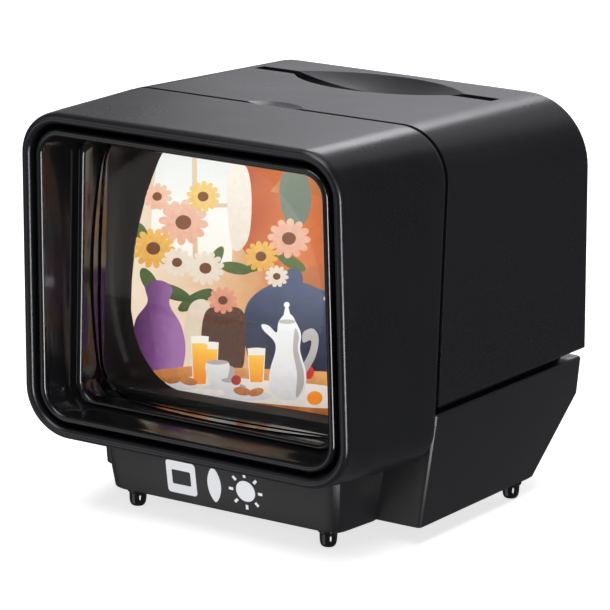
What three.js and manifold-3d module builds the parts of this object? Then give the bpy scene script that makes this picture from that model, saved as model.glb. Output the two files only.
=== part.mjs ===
// Tabletop slide viewer for 50 x 50 mm mounted slides, three.js scene graph.
// Millimetres, +Z up. X runs across the viewer, -Y is the side that is looked
// into, and Z = 0 is the surface the four feet stand on. The origin is the
// centre of the footprint box.
import * as THREE from 'three'
import { mergeVertices } from 'three/addons/utils/BufferGeometryUtils.js'
import Module from 'manifold-3d'

const wasm = await Module()
wasm.setup()

// ---------------------------------------------------------------- dimensions
// Depths below are counted from the middle of the bezel plane and shifted by
// Y_SHIFT at the end, so that the footprint box is centred on the origin.
const Y_SHIFT = -41.235

// housing
const AXIS_Z = 47.15          // optical axis above the table
const HOOD_BOTTOM = 15.74     // underside of the front hood
const BEZEL = { hw: 35.3, slope: -0.02, zb: 15.74, zt: 78.55, rb: 9.5, rt: 8.5, y: 0, lean: -0.07 }
const SEAM = { hw: 38.46, slope: -0.02, zb: 15.74, zt: 78.57, rb: 8.0, rt: 10.0, y: 28.0, lean: 0.05 }
const REAR = { hw: 39.65, slope: 0, zb: 15.74, zt: 77.35, rb: 8.0, rt: 13.1, y: 81.7, lean: -0.06 }
const WALL = 2.0
const SEAM_GAP = 0.85          // shadow line between hood and rear shell
const SHELL_BOTTOM = 27.7
const BASE_TOP = 25.85
const BASE_BOTTOM = 3.57
const CHAMFER_Z = 18.1        // where the sloping rear of the base starts
const CHAMFER_Y = 70.9        // where it meets the bottom
const BASE_FRONT = 28.4
const BASE_REAR = 84.0
const BASE_REAR_LOW = 84.6

// slide path
const SLOT_Y = 66.35
const SLOT_HALF = 26.8
const SLOT_THICK = 3.5
const SLIDE = 50
const MOUNT_THICK = 2.0
const SLIDE_BOTTOM = 25.1     // lower edge of the slide, lamp off
const PRESS = 3               // travel that closes the lamp contact

// magnifier
const LENS_Y = 16.0
const LENS_R = 84
const LENS_HW = 27.6, LENS_HH = 25.0, LENS_CORNER = 6.5
const LENS_HALF_THICK = 8.55

// cells, AA / LR6
const CELL_R = 7.15, CELL_LEN = 50.5, CELL_Z = 12.85
const CELL_Y = [40.6, 55.6]

// feet
const FEET = [[-21.45, 19.1], [21.45, 19.1], [-33.2, 67.0], [33.2, 67.0]]

// ------------------------------------------------------------------- helpers
const V = (x, y, z) => new THREE.Vector3(x, y, z)

function volume(g) {
  const p = g.attributes.position, ix = g.index
  const n = ix ? ix.count : p.count
  const at = i => (ix ? ix.getX(i) : i)
  const a = V(), b = V(), c = V()
  let v = 0
  for (let i = 0; i < n; i += 3) {
    a.fromBufferAttribute(p, at(i)); b.fromBufferAttribute(p, at(i + 1)); c.fromBufferAttribute(p, at(i + 2))
    v += a.dot(b.cross(c)) / 6
  }
  return v
}

// weld a geometry and turn its faces outward
function solid(geom) {
  let g = geom.clone()
  g.deleteAttribute('normal'); g.deleteAttribute('uv')
  g = mergeVertices(g, 1e-4)
  const src = g.index.array, keep = []
  for (let i = 0; i < src.length; i += 3) {
    if (src[i] !== src[i + 1] && src[i + 1] !== src[i + 2] && src[i] !== src[i + 2]) keep.push(src[i], src[i + 1], src[i + 2])
  }
  g.setIndex(keep)
  if (volume(g) < 0) {
    for (let i = 0; i < keep.length; i += 3) { const t = keep[i]; keep[i] = keep[i + 1]; keep[i + 1] = t }
    g.setIndex(keep)
  }
  return g
}

function toMan(geom) {
  const g = solid(geom)
  return new wasm.Manifold(new wasm.Mesh({
    numProp: 3,
    vertProperties: new Float32Array(g.attributes.position.array),
    triVerts: new Uint32Array(g.index.array),
  }))
}

function fromMan(m) {
  const mesh = m.getMesh()
  const g = new THREE.BufferGeometry()
  const np = mesh.numProp, src = mesh.vertProperties
  const pos = new Float32Array(src.length / np * 3)
  for (let i = 0; i < src.length / np; i++) for (let k = 0; k < 3; k++) pos[i * 3 + k] = src[i * np + k]
  g.setAttribute('position', new THREE.BufferAttribute(pos, 3))
  g.setIndex(Array.from(mesh.triVerts))
  return g
}

const add = (...ms) => ms.reduce((a, b) => a.add(b))
const cut = (a, ...bs) => bs.reduce((x, b) => x.subtract(b), a)

function box(x0, x1, y0, y1, z0, z1) {
  const g = new THREE.BoxGeometry(x1 - x0, y1 - y0, z1 - z0)
  g.translate((x0 + x1) / 2, (y0 + y1) / 2, (z0 + z1) / 2)
  return g
}
const mbox = (...a) => toMan(box(...a))

// lathe about +Z from a profile of [radius, z], placed at x, y
function turned(profile, x = 0, y = 0, seg = 20) {
  const g = new THREE.LatheGeometry(profile.map(p => new THREE.Vector2(p[0], p[1])), seg)
  g.rotateX(Math.PI / 2)
  g.translate(x, y, 0)
  return g
}
const rod = (x, y, r, z0, z1, seg = 12) => turned([[0, z0], [r, z0], [r, z1], [0, z1]], x, y, seg)
const mrod = (...a) => toMan(rod(...a))

// closed outline in X and Z with rounded corners, hw half width at mid height
function outline({ hw, slope = 0, zb, zt, rb, rt, y, lean = 0 }, inset = 0, dy = 0, n = 5) {
  const zm = (zb + zt) / 2
  const h = hw - inset, b = zb + inset, t = zt - inset
  const r0 = Math.max(rb - inset, 0.4), r1 = Math.max(rt - inset, 0.4)
  const pts = []
  const corner = (cx, cz, r, a0) => {
    for (let i = 0; i <= n; i++) {
      const a = a0 + Math.PI / 2 * i / n
      pts.push([cx + r * Math.cos(a), cz + r * Math.sin(a)])
    }
  }
  corner(h - r1, t - r1, r1, 0)
  corner(-h + r1, t - r1, r1, Math.PI / 2)
  corner(-h + r0, b + r0, r0, Math.PI)
  corner(h - r0, b + r0, r0, 1.5 * Math.PI)
  return pts.map(([x, z]) => V(x * (1 + slope * (z - zm) / h), y + dy + lean * (z - zm), z))
}

// skin through rings of equal point count; wrap closes the last ring to the first
function skin(rings, wrap) {
  const n = rings[0].length, pos = [], idx = []
  for (const r of rings) for (const p of r) pos.push(p.x, p.y, p.z)
  const m = rings.length
  for (let k = 0; k < (wrap ? m : m - 1); k++) {
    const a = k * n, b = ((k + 1) % m) * n
    for (let i = 0; i < n; i++) {
      const j = (i + 1) % n
      idx.push(a + i, a + j, b + j, a + i, b + j, b + i)
    }
  }
  if (!wrap) {
    for (const [k, flip] of [[0, false], [m - 1, true]]) {
      const c = pos.length / 3
      const mid = rings[k].reduce((s, p) => s.add(p), V(0, 0, 0)).multiplyScalar(1 / n)
      pos.push(mid.x, mid.y, mid.z)
      for (let i = 0; i < n; i++) {
        const j = (i + 1) % n
        if (flip) idx.push(c, k * n + i, k * n + j)
        else idx.push(c, k * n + j, k * n + i)
      }
    }
  }
  const g = new THREE.BufferGeometry()
  g.setAttribute('position', new THREE.BufferAttribute(new Float32Array(pos), 3))
  g.setIndex(idx)
  return g
}

// section part way from one housing section to another
function between(A, B, t) {
  const o = {}
  for (const k of Object.keys(A)) o[k] = A[k] + (B[k] - A[k]) * t
  return o
}

// frame-shaped ring solid between two rectangles with rounded corners
function frame(hwO, hhO, rO, hwI, hhI, rI, y0, y1, zc = AXIS_Z, n = 4) {
  const sec = (hw, hh, r, y) => outline({ hw, zb: zc - hh, zt: zc + hh, rb: r, rt: r, y }, 0, 0, n)
  return skin([sec(hwO, hhO, rO, y0), sec(hwO, hhO, rO, y1), sec(hwI, hhI, rI, y1), sec(hwI, hhI, rI, y0)], true)
}

// horizontal ring of a four-cornered plan with small corner radii
function plan(z, yf, yr, wf, wr, r, n = 3) {
  const c = [[wf, yf], [wr, yr], [-wr, yr], [-wf, yf]]
  const pts = []
  for (let k = 0; k < 4; k++) {
    const p = c[k], a = c[(k + 3) % 4], b = c[(k + 1) % 4]
    const u = new THREE.Vector2(a[0] - p[0], a[1] - p[1]).normalize()
    const w = new THREE.Vector2(b[0] - p[0], b[1] - p[1]).normalize()
    for (let i = 0; i <= n; i++) {
      const t = i / n, q = 1 - t
      const bx = p[0] + u.x * r * q * q + w.x * r * t * t
      const by = p[1] + u.y * r * q * q + w.y * r * t * t
      pts.push(V(bx, by, z))
    }
  }
  return pts
}

// round bar swept along a curve
function sweep(curve, radius, steps, sides = 8) {
  const shape = new THREE.Shape()
  for (let i = 0; i < sides; i++) {
    const a = 2 * Math.PI * i / sides
    if (i === 0) shape.moveTo(radius, 0)
    else shape.lineTo(radius * Math.cos(a), radius * Math.sin(a))
  }
  shape.closePath()
  return new THREE.ExtrudeGeometry(shape, { steps, bevelEnabled: false, extrudePath: curve })
}

class Coil extends THREE.Curve {
  constructor(r0, r1, length, turns, flat = 0.75) {
    super(); this.r0 = r0; this.r1 = r1; this.length = length; this.turns = turns; this.flat = flat
  }
  getPoint(t, target = V()) {
    const total = this.turns, u = t * total
    const live = total - 2 * this.flat
    let h = (u - this.flat) / live
    h = Math.min(1, Math.max(0, h))
    const e = u < this.flat ? -(this.flat - u) * 0.0 : 0
    const lead = 0.62
    const z = u < this.flat ? u * lead : u > total - this.flat ? this.length - (total - u) * lead
      : this.flat * lead + h * (this.length - 2 * this.flat * lead) + e
    const r = this.r0 + (this.r1 - this.r0) * (z / this.length)
    const a = 2 * Math.PI * u
    return target.set(r * Math.cos(a), r * Math.sin(a), z)
  }
}

// ------------------------------------------------------------------ materials
const mat = (color, roughness, metalness = 0, extra = {}) =>
  new THREE.MeshStandardMaterial({ color, roughness, metalness, ...extra })
const satin = () => mat(0x1b1b1d, 0.45)
const gloss = () => mat(0x0d0d0f, 0.16)
const matte = () => mat(0x141415, 0.8)
const steel = () => mat(0xb9bcc0, 0.32, 1)
const nickel = () => mat(0xc9c6bd, 0.28, 1)
const clear = () => mat(0xe8eef2, 0.04, 0, { transparent: true, opacity: 0.35 })

const viewer = new THREE.Group()
viewer.name = 'slide_viewer'
viewer.position.set(0, Y_SHIFT, 0)
const put = (parent, name, geom, material) => {
  const g = solid(geom)
  g.computeVertexNormals()
  const m = new THREE.Mesh(g, material)
  m.name = name
  parent.add(m)
  return m
}

// ----------------------------------------------------------------- front hood
// One moulding: rounded front rim, four walls, and a tongue behind the seam
// that the rear shell slides over.
{
  const f = (inset, dy) => outline(BEZEL, inset, dy)
  const s = (inset, dy) => outline(SEAM, inset, dy)
  const mid = (t, inset) => outline(between(BEZEL, SEAM, t), inset)
  const rings = [
    f(2.15, 1.25), f(1.95, 0.55), f(1.5, 0.12), f(0.95, 0), f(0.42, 0.25), f(0.1, 0.8), f(0, 1.6),
    mid(0.5, 0),
    s(0, -0.35), s(0.3, 0), s(2.35, 0), s(2.35, 2.3), s(3.5, 2.3), s(3.5, -4.5), s(WALL + 0.1, -6),
    mid(0.4, WALL + 0.1), f(2.25, 3.2),
  ]
  let hood = toMan(skin(rings, true))
  for (const x of [-14, 14]) {
    hood = hood.add(mrod(x, 23.6, 3.0, HOOD_BOTTOM + 1.2, 21.9))
    hood = hood.subtract(mrod(x, 23.6, 1.45, HOOD_BOTTOM - 1, 21.0))
  }
  // below the rear shell the base stands close behind the hood, so no tongue there
  hood = hood.subtract(mbox(-60, 60, 28.05, 40, 0, 27.0))
  put(viewer, 'front_hood', fromMan(hood), satin())
}

// -------------------------------------------------- glossy bezel with lens seat
const BZ = (inset, dy, flat = 0) => {
  const o = { ...BEZEL, lean: BEZEL.lean * (1 - flat) }
  return outline(o, inset, dy)
}
{
  const rect = (hw, hh, r, y) => outline({ hw, zb: AXIS_Z - hh, zt: AXIS_Z + hh, rb: r, rt: r, y }, 0)
  const rings = [
    BZ(3.1, 2.4), BZ(3.1, 1.5), BZ(3.3, 0.85), BZ(3.85, 0.5), BZ(4.4, 0.85), BZ(4.62, 1.7),
    rect(29.75, 26.3, 4.6, 6.5), rect(29.5, 26.0, 4.4, 8.7),
    rect(28.95, 25.45, 4.0, 8.95), rect(28.75, 25.25, 3.8, 9.5), rect(28.3, 25.6 - 0.3, 3.6, 9.3), rect(27.95, 25.35, 3.4, 9.75),
    rect(27.95, 25.35, 3.4, 14.65),
    rect(29.6, 27.0, 3.0, 14.65), rect(29.6, 27.0, 3.0, 18.0),
    rect(33.6, 28.5, 7.5, 18.0), rect(33.6, 28.5, 7.5, 15.8),
    rect(31.6, 27.9, 5.6, 15.8),
    rect(31.3, 27.9, 5.4, 9.0),
  ]
  // keep the lens rim bead clear of the wall beside it
  rings[9] = rect(28.7, 26.0 - 0.75, 3.8, 9.35)
  let b = toMan(skin(rings, true))
  for (const [x, z] of [[-31.7, 27], [31.7, 27], [-31.7, 67], [31.7, 67]]) {
    const h = rod(0, 0, 0.85, -4, 4, 12); h.rotateX(Math.PI / 2); h.translate(x, 18.0, z)
    b = b.subtract(toMan(h).intersect(mbox(x - 2, x + 2, 16.4, 19, z - 2, z + 2)))
  }
  put(viewer, 'lens_bezel', fromMan(b), gloss())
}

// ------------------------------------------------------------------- magnifier
{
  const cap = sign => {
    const pts = []
    const rim = 38, n = 8
    for (let i = 0; i <= n; i++) {
      const r = rim * i / n
      pts.push([r, LENS_HALF_THICK - (LENS_R - Math.sqrt(LENS_R * LENS_R - r * r))])
    }
    pts.push([rim, -1], [0, -1])
    const g = turned(pts, 0, 0, 28)
    g.rotateX(sign > 0 ? -Math.PI / 2 : Math.PI / 2)
    return toMan(g)
  }
  // each cap bulges one way; together they make the biconvex blank
  const a = cap(1), b = cap(-1)
  const blank = a.add(b)
  const sec = (hw, hh, r, y) => outline({ hw, zb: -hh, zt: hh, rb: r, rt: r, y }, 0, 0, 5)
  const prism = toMan(skin([sec(LENS_HW, LENS_HH, LENS_CORNER, -12), sec(LENS_HW, LENS_HH, LENS_CORNER, 12)], false))
  const flange = toMan(skin([sec(29.25, 26.65, 2.8, -1.1), sec(29.25, 26.65, 2.8, 1.1)], false))
  const lens = blank.intersect(prism).add(flange)
  const g = fromMan(lens)
  g.translate(0, LENS_Y, AXIS_Z)
  put(viewer, 'magnifier_lens', g, clear())
}

// frame that clamps the lens flange from behind
{
  let r = add(toMan(frame(33.6, 28.5, 7.5, 28.0, 25.4, 5.5, 18.3, 19.9)),
    toMan(frame(29.25, 26.6, 3.0, 28.0, 25.4, 5.5, 17.4, 18.6)))
  for (const [x, z] of [[-31.7, 27], [31.7, 27], [-31.7, 67], [31.7, 67]]) {
    const h = rod(0, 0, 1.25, -3, 3, 12); h.rotateX(Math.PI / 2); h.translate(x, 19, z)
    r = r.subtract(toMan(h))
  }
  put(viewer, 'lens_retainer', fromMan(r), matte())
}

// small self-tapping screw, head down, axis +Z, tip up
function screwGeom(headR, headH, shankR, length, seg = 10) {
  const g = turned([[0, 0], [headR * 0.8, 0], [headR, headH * 0.35], [headR, headH * 0.8], [shankR, headH * 0.8],
    [shankR, headH * 0.8 + length - 1], [0, headH * 0.8 + length]], 0, 0, seg)
  const s = headR * 0.2, l = headR * 0.6
  const cross = add(mbox(-l, l, -s, s, -1, headH * 0.4), mbox(-s, s, -l, l, -1, headH * 0.4))
  return fromMan(toMan(g).subtract(cross))
}
for (const [name, x, z] of [['retainer_screw_bl', -31.7, 27], ['retainer_screw_br', 31.7, 27], ['retainer_screw_tl', -31.7, 67], ['retainer_screw_tr', 31.7, 67]]) {
  const g = screwGeom(1.9, 1.3, 0.7, 3.4, 8)
  g.rotateX(Math.PI / 2)            // head faces +Y, tip faces -Y
  g.translate(x, 21.3, z)
  put(viewer, name, g, steel())
}

// ---------------------------------------------------------------- image tunnel
{
  const sec = (hw, hh, r, y) => outline({ hw, zb: AXIS_Z - hh, zt: AXIS_Z + hh, rb: r, rt: r, y }, 0, 0, 5)
  const t = skin([
    sec(30.6, 24.7, 3.2, 23.3), sec(22.0, 21.9, 2.2, 60.6), sec(24.6, 22.4, 2.2, 60.6), sec(24.6, 22.4, 2.2, 62.0),
    sec(20.4, 20.0, 1.2, 62.0), sec(29.4, 23.5, 2.2, 23.3),
  ], true)
  put(viewer, 'image_tunnel', t, matte())
}

// ------------------------------------------------------------------ slide gate
// Upright frame with a square window and a channel at each side for the slide.
{
  let g = mbox(-29.2, 29.2, 62.3, 64.3, 22.4, 69.8)
  g = g.subtract(mbox(-19, 19, 61, 66, 27.4, 67.0))
  for (const s of [-1, 1]) {
    const x0 = Math.min(s * 25.5, s * 29.2), x1 = Math.max(s * 25.5, s * 29.2)
    g = g.add(mbox(x0, x1, 63.5, 68.2, 22.4, 69.8))
  }
  put(viewer, 'gate_frame', fromMan(g), matte())
}

// ------------------------------------------------- sprung carriage and springs
const carriage = new THREE.Group()
viewer.add(carriage)
{
  let c = mbox(-24.7, 24.7, SLOT_Y - 1.55, SLOT_Y + 1.55, 22.4, SLIDE_BOTTOM + 0.9)
  c = c.subtract(mbox(-26, 26, SLOT_Y - MOUNT_THICK / 2 - 0.15, SLOT_Y + MOUNT_THICK / 2 + 0.15, SLIDE_BOTTOM - 0.1, SLIDE_BOTTOM + 3))
  for (const x of [-18, 18]) c = c.add(mrod(x, SLOT_Y, 0.95, 13.2, 23, 14))
  c = c.add(mbox(0, 5, SLOT_Y, 73.3, 21.9, 23.9), mbox(1.2, 3.8, 70.9, 73.3, 17.3, 23))
  put(carriage, 'slide_carriage', fromMan(c), mat(0x1a1a1c, 0.55))
}
for (const [name, x] of [['lift_spring_left', -18], ['lift_spring_right', 18]]) {
  const g = sweep(new Coil(1.6, 1.6, 14.1, 6.5), 0.24, 72, 4)
  g.translate(x, SLOT_Y, 7.75)
  put(viewer, name, g, steel())
}

// --------------------------------------------------------- slide in its mount
const slide = new THREE.Group()
carriage.add(slide)
{
  const h = SLIDE / 2, zc = SLIDE_BOTTOM + h
  const y0 = SLOT_Y - MOUNT_THICK / 2, y1 = SLOT_Y + MOUNT_THICK / 2
  let m = toMan(frame(h, h, 1.6, 17.4, 11.5, 0.8, y0, y1, zc))
  m = m.subtract(mbox(-19.2, 19.2, y1 - 1.1, y1 + 1, zc - 13.2, zc + 13.2))
  put(slide, 'slide_mount', fromMan(m), mat(0xe9e7e1, 0.6))
  put(slide, 'slide_film', box(-18.9, 18.9, y1 - 0.85, y1 - 0.55, zc - 12.9, zc + 12.9), mat(0xb8692f, 0.3))
}

// ------------------------------------------------------------------- lamp side
put(viewer, 'diffuser_plate', box(-22.6, 22.6, 68.7, 70.2, 25.6, 69.2), mat(0xf2f2ee, 0.5))
{
  let r = mbox(-24.4, 24.4, 70.5, 76.2, 25.2, 69.6)
  const inner = skin([
    outline({ hw: 23.2, zb: 26.4, zt: 68.4, rb: 2, rt: 2, y: 70.0 }, 0, 0, 3),
    outline({ hw: 21.6, zb: 28.0, zt: 66.8, rb: 3, rt: 3, y: 75.0 }, 0, 0, 3),
  ], false)
  r = r.subtract(toMan(inner))
  for (const x of [-9, 9]) {
    const h = rod(0, 0, 2.1, -3, 3, 14); h.rotateX(Math.PI / 2); h.translate(x, 75.6, AXIS_Z)
    r = r.subtract(toMan(h))
  }
  for (const x of [-18, 18]) {
    const h = rod(0, 0, 0.85, -3, 3, 12); h.rotateX(Math.PI / 2); h.translate(x, 75.6, AXIS_Z)
    r = r.subtract(toMan(h))
  }
  put(viewer, 'reflector_box', fromMan(r), mat(0xf4f4f1, 0.35))
}
{
  let b = mbox(-21, 21, 76.5, 77.5, AXIS_Z - 6, AXIS_Z + 6)
  for (const x of [-18, 18]) {
    const h = rod(0, 0, 1.1, -3, 3, 12); h.rotateX(Math.PI / 2); h.translate(x, 77, AXIS_Z)
    b = b.subtract(toMan(h))
  }
  put(viewer, 'led_board', fromMan(b), mat(0x1f5a36, 0.5))
}
for (const [name, x] of [['led_left', -9], ['led_right', 9]]) {
  const g = turned([[0, 0], [1.75, 0], [1.75, 0.6], [1.5, 0.6], [1.5, 2.0], [1.3, 2.6], [0.85, 3.05], [0, 3.25]], 0, 0, 10)
  g.rotateX(Math.PI / 2)            // dome faces -Y, towards the slide
  g.translate(x, 76.35, AXIS_Z)
  put(viewer, name, g, mat(0xfff3c4, 0.2))
}
put(viewer, 'resistor', box(-2.2, 2.2, 77.62, 78.35, AXIS_Z + 1.6, AXIS_Z + 3.8), mat(0x22262b, 0.4))
for (const [name, x] of [['board_screw_left', -18], ['board_screw_right', 18]]) {
  const g = screwGeom(1.8, 1.2, 0.7, 2.6, 8)
  g.rotateX(Math.PI / 2)
  g.translate(x, 78.8, AXIS_Z)
  put(viewer, name, g, steel())
}

// ------------------------------------------------------------------ rear shell
const SHELL_FRONT = { ...SEAM, zb: SHELL_BOTTOM, rb: 0.5 }
const SHELL_REAR = { ...REAR, zb: SHELL_BOTTOM, rb: 0.5 }
// the housing sections lean about their own mid height, so the cropped ones
// are moved to stay in the same planes
const crop = (S) => {
  const zm = (15.74 + S.zt) / 2, zn = (S.zb + S.zt) / 2
  return { ...S, y: S.y + S.lean * (zn - zm), hw: S.hw * (1 + S.slope * (zn - zm) / S.hw) }
}
const SF = crop(SHELL_FRONT), SR = crop(SHELL_REAR)
const dishFront = (grow, seg = 32) => {
  // finger well in front of the slot
  const top = 77.7, rp = 22.1, h = 22.5, R = Math.hypot(rp, h)
  return cap(0, 78.1, top + h, R + grow, seg, 15)
}
const dishRear = (grow, seg = 32) => {
  // shallow scoop behind the slot
  const top = 77.5, rp = 23.1, h = 75, R = Math.hypot(rp, h)
  return cap(0, 54.0, top + h, R + grow, seg, 9)
}
function cap(x, y, zc, R, seg, rise) {
  // lower part of a sphere, closed by a flat top `rise` above its lowest point
  const pts = [[0, zc - R]]
  const n = 6, a1 = Math.acos((R - rise) / R)
  for (let i = 1; i <= n; i++) { const a = a1 * i / n; pts.push([R * Math.sin(a), zc - R * Math.cos(a)]) }
  pts.push([0, zc - R + rise])
  return toMan(turned(pts, x, y, seg))
}
{
  const outer = skin([
    outline(SF, 0.3, SEAM_GAP), outline(SF, 0, SEAM_GAP + 0.35), outline(SR, 0, -0.7), outline(SR, 0.22, -0.2), outline(SR, 0.75, 0),
  ], false)
  // the inner space runs out through the front and the bottom
  const lowF = { ...SF, zb: SHELL_BOTTOM - 10, rb: 0.5 }, lowR = { ...SR, zb: SHELL_BOTTOM - 10, rb: 0.5 }
  for (const S of [lowF, lowR]) {
    const o = S === lowF ? SF : SR
    const zn = (S.zb + S.zt) / 2, zo = (o.zb + o.zt) / 2
    S.y = o.y + o.lean * (zn - zo); S.hw = o.hw * (1 + o.slope * (zn - zo) / o.hw)
  }
  const inner = skin([outline(lowF, WALL, -6), outline(lowR, WALL, -WALL)], false)
  let s = toMan(outer).subtract(toMan(inner))
  const y0 = SLOT_Y - SLOT_THICK / 2, y1 = SLOT_Y + SLOT_THICK / 2
  const topSlab = mbox(-60, 60, 30, 90, 60, 76.6)
  // thickness under the finger well and the scoop, and the slot's own walls
  s = add(s,
    dishFront(1.8).intersect(mbox(-40, 40, 50, y0, 60, 76.9)),
    dishRear(1.8).intersect(mbox(-40, 40, y1, 78.2, 60, 76.5)),
    mbox(-SLOT_HALF - 1.6, SLOT_HALF + 1.6, y0 - 1.6, y1 + 1.6, 70.3, 76.6).intersect(topSlab))
  s = cut(s,
    dishFront(0).intersect(mbox(-40, 40, 40, y0 + 0.5, 60, 95)),
    dishRear(0).intersect(mbox(-40, 40, y1 - 0.5, 95, 60, 95)),
    mbox(-SLOT_HALF, SLOT_HALF, y0, y1, 60, 95),
    // shallow half-moon dip at the front edge of the top
    cap(0, 28.3, 78.57 + 38.1, 38.66, 32, 2))
  for (const x of [-1, 1]) {
    const a = Math.min(x * 30.5, x * 38.3), b = Math.max(x * 30.5, x * 38.3)
    s = add(s, mrod(x * 30.5, 74.5, 3.1, 26.3, 35), mbox(a, b, 73.5, 75.5, 28.2, 35))
    s = s.subtract(mrod(x * 30.5, 74.5, 1.45, 20, 33.5))
  }
  put(viewer, 'rear_shell', fromMan(s), satin())
}

// -------------------------------------------------------------------- base tub
{
  const half = (y, z) => 38.3 + 0.005 * (y - 28.4) + 0.12 * (z - BASE_TOP)
  const wide = (z, yf, yr, off, r) => plan(z, yf + off, yr - off, half(yf, z) - off, half(yr, z) - off, r)
  let b = toMan(skin([
    wide(BASE_BOTTOM, BASE_FRONT, CHAMFER_Y, 0.35, 0.9), wide(BASE_BOTTOM + 0.35, BASE_FRONT, CHAMFER_Y + 0.33, 0, 1.0),
    wide(CHAMFER_Z, BASE_FRONT, BASE_REAR_LOW, 0, 1.0), wide(BASE_TOP - 0.3, BASE_FRONT, BASE_REAR, 0, 1.0), wide(BASE_TOP, BASE_FRONT, BASE_REAR, 0.3, 0.9),
  ], false))
  // neck that carries the front feet and closes the space under the hood
  const neck = (z, off, yb = 30) => {
    const t = (z - BASE_BOTTOM) / (15.4 - BASE_BOTTOM)
    return plan(z, 15.8 - 2.4 * t + off, yb, 25.3 + 1.2 * t - off, 26.6 + 1.2 * t - off, 2.6)
  }
  b = b.add(toMan(skin([neck(BASE_BOTTOM, 0.35), neck(BASE_BOTTOM + 0.35, 0), neck(15.4, 0)], false)))
  // upstand that the rear shell locates on, set back to leave the dark groove
  b = b.add(toMan(skin([wide(BASE_TOP - 1, BASE_FRONT + 2.6, BASE_REAR - 1.6, 2.2, 0.8), wide(29.4, BASE_FRONT + 2.6, BASE_REAR - 0.7, 3.3, 0.8)], false)))
  // hollow, open at the top
  b = b.subtract(toMan(skin([
    wide(5.4, BASE_FRONT, CHAMFER_Y + 1.3, 1.9, 0.5), wide(CHAMFER_Z, BASE_FRONT, BASE_REAR_LOW - 0.75, 1.9, 0.5),
    wide(BASE_TOP, BASE_FRONT, BASE_REAR - 1.3, 3.6, 0.5), wide(31, BASE_FRONT, BASE_REAR - 0.3, 4.9, 0.5),
  ], false)))
  for (const s of [-1, 1]) b = b.subtract(mbox(Math.min(s * 26, s * 38), Math.max(s * 26, s * 38), 70.6, 78.4, 27.95, 32))
  b = b.subtract(toMan(skin([neck(5.4, 1.9, BASE_FRONT), neck(16, 1.9, BASE_FRONT)], false)))
  // the front wall drops in the middle so that the image tunnel passes over it
  b = b.subtract(mbox(-33.5, 33.5, 26, 34.5, 21.9, 32))
  // battery bay with its roof, and the rails of the cover
  const bay = mbox(-33.9, 33.9, 29.5, 64.2, BASE_BOTTOM + 0.4, 7.2)
  b = add(b, bay, mbox(-30.2, 30.2, 29.5, 64.2, 6, 21.9), mbox(-33.9, 33.9, 64.0, 72.6, BASE_BOTTOM + 1, 7.2).intersect(toMan(skin([
    wide(BASE_BOTTOM, BASE_FRONT, CHAMFER_Y, 0.5, 0.9), wide(CHAMFER_Z, BASE_FRONT, BASE_REAR_LOW, 0.5, 1.0)], false))))
  // bosses for the rear screws and pads for the rear feet
  for (const s of [-1, 1]) {
    b = b.add(mrod(s * 30.5, 74.5, 3.3, 7, 25.6).intersect(toMan(skin([
      wide(BASE_BOTTOM, BASE_FRONT, CHAMFER_Y, 0.3, 0.9), wide(CHAMFER_Z, BASE_FRONT, BASE_REAR_LOW, 0.3, 1.0), wide(26, BASE_FRONT, BASE_REAR, 0.3, 1.0)], false))))
    b = b.add(mrod(s * 33.2, 67, 2.2, BASE_BOTTOM + 0.2, 8.5))
    b = b.add(mrod(s * 14, 23.6, 3.4, BASE_BOTTOM + 0.5, 15.4))
    b = b.add(mrod(s * 21.45, 19.1, 2.4, BASE_BOTTOM + 0.5, 8.5))
  }
  b = b.subtract(mbox(-28.6, 28.6, 32.8, 63.0, 2, 20.5))
  b = b.subtract(mbox(-29.2, 29.2, 30.9, 80, 2, 5.5))
  b = b.subtract(mbox(-30.5, 30.5, 30.9, 80, 4.4, 5.5))
  for (const s of [-1, 1]) {
    b = cut(b, mrod(s * 30.5, 74.5, 2.7, 2, 13.6), mrod(s * 30.5, 74.5, 1.5, 12, 27),
      mrod(s * 14, 23.6, 2.7, 2, 10.6), mrod(s * 14, 23.6, 1.5, 9, 17))
  }
  for (const [x, y] of FEET) b = b.subtract(mrod(x, y, 1.2, 2, 7.6, 14))
  // slits for the contact tabs
  b = cut(b, mbox(26.9, 28.6, 38.7, 42.5, 18, 23), mbox(26.9, 28.6, 53.7, 57.5, 18, 23))
  // spring seats
  for (const x of [-18, 18]) b = b.add(mrod(x, SLOT_Y, 0.95, 6.5, 9.3, 14))
  put(viewer, 'base_tub', fromMan(b), satin())
}

// --------------------------------------------------------------- battery cover
{
  let c = add(mbox(-28.9, 28.9, 31.2, 70.55, BASE_BOTTOM + 0.1, 5.2), mbox(-30.2, 30.2, 31.2, 70.55, 4.7, 5.2))
  for (let i = 0; i < 6; i++) c = c.subtract(mbox(-9, 9, 60 + i * 1.5, 60.7 + i * 1.5, 3, BASE_BOTTOM + 0.55))
  put(viewer, 'battery_cover', fromMan(c), satin())
}

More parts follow.
